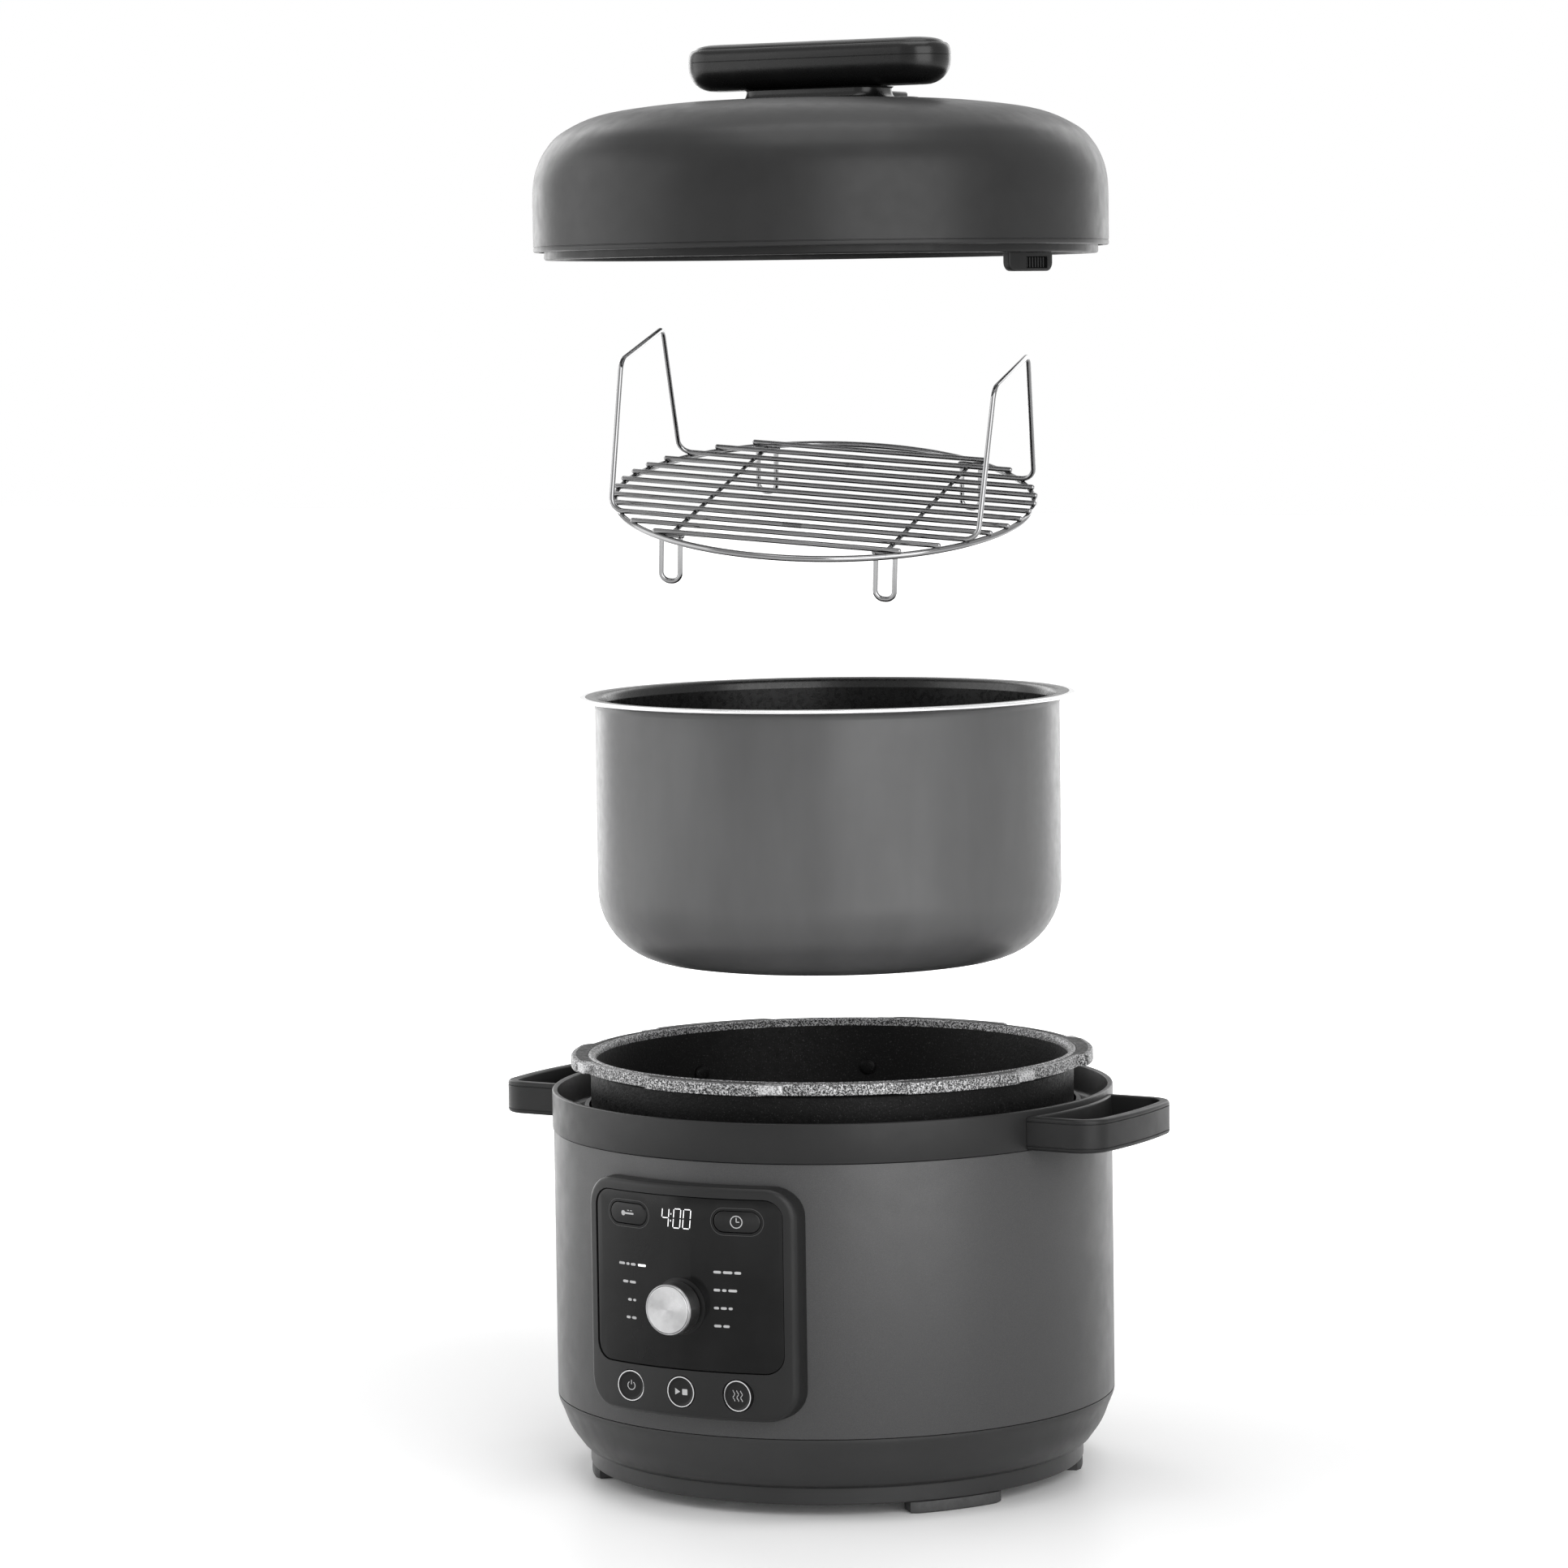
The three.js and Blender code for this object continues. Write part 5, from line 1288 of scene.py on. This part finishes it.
def ring_arc(start, end):
    """The ring's wire between two angles, with flat ends."""
    count = max(int((end - start) / 2.5), 4)
    sides = 14
    rings = []
    for i in range(count + 1):
        a = math.radians(start + (end - start) * i / count)
        out = Vector((math.cos(a), math.sin(a), 0))
        line = []
        for k in range(sides):
            b = 2 * math.pi * k / sides
            rise = Vector((0, 0, RING_WIRE * math.sin(b)))
            line.append(out * (RACK_R + RING_WIRE * math.cos(b)) + rise)
        rings.append(line)
    return loft(rings)


def wire_rack():
    leaning = rack_place()
    pitch = -2 * FRONT_BAR / (BARS - 1)
    loop_y = -FRONT_BAR - LOOP_BAR * pitch
    start, end = HINGE_ANGLE - ARC_HALF_ANGLE, HINGE_ANGLE + ARC_HALF_ANGLE
    slack = 0.05
    wires = [ring_arc(end + slack, start + 360 - slack)]
    for i in range(BARS):
        if i not in (LOOP_BAR, BARS - 1 - LOOP_BAR):
            y = FRONT_BAR + pitch * i
            half = math.sqrt((RACK_R + 0.6) ** 2 - y * y)
            wires.append(sweep([(-half, y, BAR_Z), (0, y, BAR_Z), (half, y, BAR_Z)], BAR_WIRE))
    for x in (LOOP_X, -LOOP_X):
        inner, foot = math.copysign(5, -x), x - math.copysign(1.5, x)
        loop = [
            (inner, loop_y, BAR_Z), (foot, loop_y, BAR_Z), (x, LOOP_TOP_HALF, LOOP_HEIGHT),
            (x, -LOOP_TOP_HALF, LOOP_HEIGHT), (foot, -loop_y, BAR_Z), (inner, -loop_y, BAR_Z),
        ]
        wires.append(bent(loop, BAR_WIRE, 7))
    under = BAR_Z - 2 * BAR_WIRE + 0.4
    foot_z = -LEG_HEIGHT + BAR_WIRE
    for x in (-LEG_X, LEG_X):
        edge = math.sqrt(RACK_R**2 - x * x) - 7
        wires.append(sweep([(x, -edge, under), (x, 0, under), (x, edge, under)], BAR_WIRE))
        x0, x1 = x - LEG_HALF_WIDTH, x + LEG_HALF_WIDTH
        for sign in (1, -1):
            y, y_foot = sign * edge, sign * (edge + 1)
            hairpin = [(x0, y, under), (x0, y_foot, foot_z), (x1, y_foot, foot_z), (x1, y, under)]
            wires.append(bent(hairpin, BAR_WIRE, 4.4))
            wires.append(sweep([(x0 - 1, y, under), (x, y, under), (x1 + 1, y, under)], BAR_WIRE))
    piece("rack_wires", moved(together(*wires), leaning), "rack", chrome, ["rack_grid"], sharp=60)
    front_wire = moved(ring_arc(start, end), leaning)
    piece("rack_front_wire", front_wire, "rack_arc", chrome, ["rack_front_arc"], sharp=60)


# ---- lid ------------------------------------------------------------------------------------

dome_low, dome_high = span("lid_dome")
LID_Z = dome_low.z
LID_R = dome_high.x
LID_HEIGHT = dome_high.z - dome_low.z
LID_WALL = 3.0
VALVE_Y = 80.0
VALVE_R = 13.0
float_low, float_high = span("float_valve")
FLOAT_X = (float_low.x + float_high.x) / 2
FLOAT_Y = (float_low.y + float_high.y) / 2
plate_low, plate_high = span("pressure_plate")
grip_low, grip_high = span("lid_handle")


def dome_curve():
    return spline(
        [
            (LID_R, 20), (LID_R, 27.1), (146.9, 35.5), (144.8, 43.8), (140.4, 52.2), (132.3, 60.5),
            (113.9, 68.9), (86, 73.4), (58, 75.4), (28, 76.3), (0.001, LID_HEIGHT),
        ],
        5,
    )


def dome_height(radius):
    curve = dome_curve()
    for (r0, z0), (r1, z1) in zip(curve, curve[1:]):
        if r1 <= radius <= r0:
            return z1 + (z0 - z1) * (radius - r1) / max(r0 - r1, 1e-6)
    return LID_HEIGHT


def bore(radius, x, y):
    """A tool that drills through the dome at (x, y)."""
    top = LID_HEIGHT + 9
    segments = SMALL_ROUND if radius > 10 else 32
    return moved(lathe([(0, 40), (radius, 40), (radius, top), (0, top)], segments), at(x, y))


def lid_dome():
    outer = rounded(
        [
            (LID_R - 3, 0), (LID_R, 0, 0.9), (LID_R, 2.2), (LID_R - 0.25, 2.4), (LID_R - 0.25, 2.7),
            (LID_R, 2.9), (LID_R, 12),
        ],
        steps=4,
    )
    curve = dome_curve()
    inner = [(max(r - LID_WALL, 0), z - LID_WALL * min(1, max(0, (z - 27) / 20))) for r, z in curve]
    middle = [(0, LID_HEIGHT), (0, LID_HEIGHT - LID_WALL)]
    profile = outer + curve[:-1] + middle + inner[::-1][1:] + [(LID_R - LID_WALL, 12)]
    holes = bore(VALVE_R + 1.5, 0, VALVE_Y), bore(4.5, FLOAT_X, FLOAT_Y)
    dome = moved(carve(lathe(profile, 240), *holes), at(0, 0, LID_Z))
    piece("dome", dome, "lid", dome_plastic, ["lid_dome"], sharp=40)


def lid_rim():
    low, high = span("lid_rim")
    z, outer, inner = LID_Z, 142.0, 137.0
    step = LID_R - LID_WALL - GAP
    profile = rounded(
        [
            (inner, low.z, 0.6), (outer, low.z, 1.2), (outer, z + 1, 0.3), (step, z + 1.4, 0.2),
            (step, z + 6), (outer, z + 6), (outer, high.z), (outer - 2.2, high.z),
            (outer - 2.2, z - 1), (inner, z - 1, 0.4),
        ],
        closed=True,
        steps=4,
    )
    piece("rim", lathe(profile), "lid", dark, ["lid_rim"], sharp=40)


def pressure_plate():
    low, high = plate_low.z, plate_high.z
    r, t = plate_high.x, 2.0
    edge = LID_Z + 24.6
    outside = rounded(
        [(r - t, low), (r, low, 0.5), (r, edge, 2.2), (116, edge, 2), (107, high, 3), (0, high)],
        steps=5,
    )
    inside = rounded(
        [
            (0, high - t), (105.5, high - t, 2), (114, edge - t, 2.5), (r - t, edge - t, 1.5),
            (r - t, low),
        ],
        steps=5,
    )
    lugs = []
    for i in range(LUGS):
        middle = LUG_START + i * 360 / LUGS
        lug = sector(132.3, r - 0.5, middle - 11.4, middle + 11.4, 2.0)
        lugs.append(block(lug, low, low + 5, 0.8, 0.8))
    plate = together(lathe(outside + inside[:-1]), *lugs)
    piece("steel_plate", plate, "lid", stainless, ["pressure_plate"], sharp=40)


def sealing_ring():
    low, high = span("sealing_ring")
    outer, inner = high.x, 118.5
    profile = rounded(
        [
            (outer - 8, low.z, 0.6), (outer - 2, low.z + 0.8, 0.5), (outer, low.z + 1.6, 0.5),
            (outer, high.z, 0.5), (inner + 2, high.z, 0.5), (inner, high.z - 1.2, 0.5),
            (inner + 4, low.z, 0.6),
        ],
        closed=True, steps=3,
    )
    piece("silicone_ring", lathe(profile), "seal", silicone, ["sealing_ring"], sharp=60)


def steam_valve():
    low, high = span("steam_valve")
    top, bore_r = high.z - 3, 5.6
    profile = rounded(
        [
            (bore_r, low.z), (VALVE_R - 3, low.z, 0.6), (VALVE_R, low.z + 4, 1), (VALVE_R, top, 1.6),
            (VALVE_R - 3, top, 0.4), (VALVE_R - 3.4, top - 0.5, 0.3), (0, top - 0.5),
        ],
        steps=4,
    )
    profile += [(0, LID_Z + 66), (bore_r, LID_Z + 66)]
    grip = block(rectangle(4.4, 2 * (VALVE_R - 2), 2.1), top - 1, high.z, 0.2, 1.4)
    valve = moved(together(lathe(profile, SMALL_ROUND), grip), at(0, VALVE_Y))
    piece("valve_cap", valve, "valve", handle_plastic, ["steam_valve"], sharp=40)


def float_valve():
    low, high = float_low, float_high
    flange = LID_Z + 48.3
    profile = rounded(
        [
            (0, low.z), (3, low.z, 0.6), (3, flange), (4, flange, 0.3), (4, flange + 2.7, 0.3),
            (3, flange + 2.7), (3, high.z, 0.9), (0, high.z),
        ],
        steps=4,
    )
    pin = moved(lathe(profile, 32), at(FLOAT_X, FLOAT_Y))
    piece("float_pin", pin, "float", stainless, ["float_valve"])


TAB_R = 141.4
TAB_INNER_R = 137.0
TAB_HALF = 17.0
TAB_RIBS = 7


def rest_tab():
    low, high = span("lid_rest_tab")
    angle = math.atan2((low.y + high.y) / 2, (low.x + high.x) / 2)
    height, middle = high.z - low.z, (low.z + high.z) / 2 - 0.2

    def outline(inset=0.0):
        w, z0, z1, r = TAB_HALF - inset, low.z + inset, high.z - inset * 0.2, 4.5 - inset
        turns = [math.radians(90 * k / 8) for k in range(9)]
        right = [(w - r + r * math.sin(a), z0 + r - r * math.cos(a)) for a in turns]
        left = [(-x, z) for x, z in right[::-1]]
        return right + [(w, z1), (-w, z1)] + left

    slab = as_face(block(outline, TAB_INNER_R, TAB_R, 0.3, 1.0))
    hollow = rectangle(17, height - 3.4, 0.8, 3.5, middle)
    tab = carve(slab, as_face(block(hollow, TAB_R - 2.6, TAB_R + 3, 0, 0)))
    ribs = []
    for k in range(TAB_RIBS):
        rib = rectangle(0.9, height - 3.8, 0.3, -3.2 + 2.2 * k, middle)
        ribs.append(as_face(block(rib, TAB_R - 2.8, TAB_R - 0.9, 0, 0.3)))

    def wrap(x, r, z):
        a = angle + x / TAB_R
        return r * math.cos(a), r * math.sin(a), z

    tab = moved(together(tab, *ribs), wrap)
    piece("stand_tab", tab, "lid", dark, ["lid_rest_tab"], sharp=40)


GRIP_SEAM_RISE = 14.6
GRIP_LOW_EDGE, GRIP_HIGH_EDGE = 12.5, 5.0
CAP_INSET, CAP_SEAT_DEPTH, CAP_EDGE = 3.2, 1.2, 11.0
NECK_FLARE = 6.0


def lid_grip(bar):
    """The handle bar: a deep rounded underside, a parting line, and a seat for its cap."""
    z0, z1 = grip_low.z, grip_high.z
    edge, high_inset = GRIP_LOW_EDGE, CAP_INSET * 0.86
    rings = [level(bar(edge * s), z0 + (edge - 0.5) * c) for s, c in quarter(8)]
    for inset, rise in ((0, -0.25), (0.25, -0.1), (0.25, 0.1), (0, 0.25)):
        rings.append(level(bar(inset), z0 + GRIP_SEAM_RISE + rise))
    rings += [level(bar(high_inset * c), z1 - GRIP_HIGH_EDGE * s) for s, c in quarter(4)]
    rings += [level(bar(CAP_INSET), z) for z in (z1 - 0.2, z1 - CAP_SEAT_DEPTH)]
    return loft(rings)


def lid_grip_cap(bar):
    low, high = span("handle_cap")
    inset, base = CAP_INSET + 0.3, grip_high.z - 0.1
    turns = [math.pi / 2 * i / 7 for i in range(1, 8)]
    rings = [level(bar(inset), low.z), level(bar(inset), base)]
    for a in turns:
        z = base + (high.z - base) * math.sin(a)
        rings.append(level(bar(inset + CAP_EDGE * (1 - math.cos(a))), z))
    return loft(rings)


def lid_neck():
    """The neck sits on the dome, so its lower rings follow the dome's curve."""
    low, high = span("handle_neck")
    width, depth = high.x - low.x - NECK_FLARE, high.y - low.y - NECK_FLARE
    neck = rectangle(width, depth, 9, steps=10)
    rings = []
    for s, c in quarter(8):
        rise = (high.z - low.z + 0.2) * c * 0.9
        outline = neck(-NECK_FLARE / 2 * s)
        ground = [LID_Z + dome_height(math.hypot(x, y)) + 0.05 for x, y in outline]
        rings.append([(x, y, z + rise) for (x, y), z in zip(outline, ground)])
    rings.append(level(neck(-1.2), high.z + 0.1))
    return loft(rings)


def lid_handle():
    length, width = grip_high.x - grip_low.x, grip_high.y - grip_low.y
    bar = rectangle(length, width, width / 2 - 0.4, steps=14)
    piece("grip", lid_grip(bar), "lid", handle_plastic, ["lid_handle"], sharp=40)
    piece("grip_cap", lid_grip_cap(bar), "lid", handle_plastic, ["handle_cap"], sharp=40)
    piece("grip_neck", lid_neck(), "lid", handle_plastic, ["handle_neck"], sharp=50)


# ---- studio ---------------------------------------------------------------------------------

VIEW_AZIMUTH = 30.0
CAMERA_AT = (1.421, -2.461, 0.5993)
LENS_MM = 126.6
PITCH, YAW, ROLL = -4.866, 0.464, -0.822


def camera():
    data = bpy.data.cameras.new("camera")
    data.lens, data.sensor_width = LENS_MM, 36
    data.clip_start, data.clip_end = 0.05, 60
    made = bpy.data.objects.new("camera", data)
    bpy.context.scene.collection.objects.link(made)
    heading = math.radians(VIEW_AZIMUTH + YAW)
    pitch = math.radians(PITCH)
    ahead = math.cos(pitch)
    forward = Vector((-math.sin(heading) * ahead, math.cos(heading) * ahead, math.sin(pitch)))
    turn = forward.to_track_quat("-Z", "Y") @ Quaternion((0, 0, 1), math.radians(ROLL))
    made.rotation_mode = "QUATERNION"
    made.location, made.rotation_quaternion = CAMERA_AT, turn
    bpy.context.scene.camera = made


def soft_light(name, azimuth, elevation, distance, width, height, power, aim_z=0.38):
    """A soft box aimed at the middle of the column; its azimuth is to the camera's right."""
    data = bpy.data.lights.new(name, "AREA")
    data.shape, data.size, data.size_y, data.energy = "RECTANGLE", width, height, power
    made = bpy.data.objects.new(name, data)
    bpy.context.scene.collection.objects.link(made)
    a, e = math.radians(VIEW_AZIMUTH + azimuth), math.radians(elevation)
    away = Vector((math.sin(a) * math.cos(e), -math.cos(a) * math.cos(e), math.sin(e)))
    made.location = Vector((0, 0, aim_z)) + away * distance
    made.rotation_mode = "QUATERNION"
    made.rotation_quaternion = (-away).to_track_quat("-Z", "Y")
    made.visible_camera = False


def lights():
    soft_light("main_box", 28, 14, 3.3, 3.0, 3.2, 125)
    soft_light("left_box", -90, 10, 3.3, 3.6, 3.2, 78)
    soft_light("left_rim_box", -152, 12, 3.3, 1.2, 3.2, 36)
    soft_light("right_rim_box", 150, 12, 3.3, 1.2, 3.2, 26)
    soft_light("top_box", 10, 84, 3.2, 2.6, 2.6, 66)


def ray_kinds(tree):
    """1 for camera, glossy and transmission rays, 0 for the rest."""
    path = tree.nodes.new("ShaderNodeLightPath")
    total = path.outputs["Is Camera Ray"]
    for name in ("Is Glossy Ray", "Is Transmission Ray"):
        add = tree.nodes.new("ShaderNodeMath")
        add.operation, add.use_clamp = "ADD", True
        tree.links.new(total, add.inputs[0])
        tree.links.new(path.outputs[name], add.inputs[1])
        total = add.outputs[0]
    return total


ROOM_LIGHT = 0.25  # diffuse light from all round


def world():
    made = bpy.data.worlds.new("studio")
    bpy.context.scene.world = made
    made.use_nodes = True
    tree = made.node_tree
    tree.nodes.clear()
    mix = tree.nodes.new("ShaderNodeMixShader")
    room, white = tree.nodes.new("ShaderNodeBackground"), tree.nodes.new("ShaderNodeBackground")
    room.inputs["Color"].default_value = (1, 1, 1, 1)
    room.inputs["Strength"].default_value = ROOM_LIGHT
    white.inputs["Color"].default_value = (1, 1, 1, 1)
    white.inputs["Strength"].default_value = 1.0
    tree.links.new(ray_kinds(tree), mix.inputs[0])
    tree.links.new(room.outputs[0], mix.inputs[1])
    tree.links.new(white.outputs[0], mix.inputs[2])
    tree.links.new(mix.outputs[0], tree.nodes.new("ShaderNodeOutputWorld").inputs[0])


FLOOR_SIZE = 24.0
FLOOR_GLOW = (0.03, 1.0)  # the floor's own light close to the object, and beyond
FLOOR_GLOW_REACH = (0.35, 1.5)  # metres from the middle over which it rises


def floor():
    """A white sweep: lit like the object close by, so it keeps the shadow, and pure white beyond."""
    mesh = bpy.data.meshes.new("floor")
    s = FLOOR_SIZE / 2
    mesh.from_pydata([(-s, -s, 0), (s, -s, 0), (s, s, 0), (-s, s, 0)], [], [(0, 1, 2, 3)])
    made = bpy.data.objects.new("floor", mesh)
    bpy.context.scene.collection.objects.link(made)
    look = bpy.data.materials.new("floor")
    look.use_nodes = True
    tree = look.node_tree
    shader = tree.nodes["Principled BSDF"]
    shader.inputs["Base Color"].default_value = (0.9, 0.9, 0.9, 1)
    shader.inputs["Roughness"].default_value = 0.4
    shader.inputs["Specular IOR Level"].default_value = 0.3
    shader.inputs["Emission Color"].default_value = (1, 1, 1, 1)
    place = tree.nodes.new("ShaderNodeTexCoord")
    reach = tree.nodes.new("ShaderNodeVectorMath")
    reach.operation = "LENGTH"
    tree.links.new(place.outputs["Object"], reach.inputs[0])
    rise = tree.nodes.new("ShaderNodeMapRange")
    rise.interpolation_type = "SMOOTHSTEP"
    rise.inputs["From Min"].default_value, rise.inputs["From Max"].default_value = FLOOR_GLOW_REACH
    rise.inputs["To Min"].default_value, rise.inputs["To Max"].default_value = FLOOR_GLOW
    tree.links.new(reach.outputs["Value"], rise.inputs["Value"])
    share = tree.nodes.new("ShaderNodeMath")
    share.operation = "MULTIPLY"
    tree.links.new(ray_kinds(tree), share.inputs[0])
    tree.links.new(rise.outputs["Result"], share.inputs[1])
    tree.links.new(share.outputs[0], shader.inputs["Emission Strength"])
    mesh.materials.append(look)


bpy.context.scene.view_settings.view_transform = "Standard"
camera()
world()
lights()
floor()
finish_cad_nodes()
for build in (
    base_shell, base_skirt, feet, top_collar, side_handles, cooker_liner, heating_plate,
    panel, digits, mode_marks, pill_keys, round_keys, dial,
    power_inlet, condensation_cup, cup_bracket,
    inner_pot, wire_rack,
    lid_dome, lid_rim, pressure_plate, sealing_ring, steam_valve, float_valve, rest_tab, lid_handle,
):
    build()
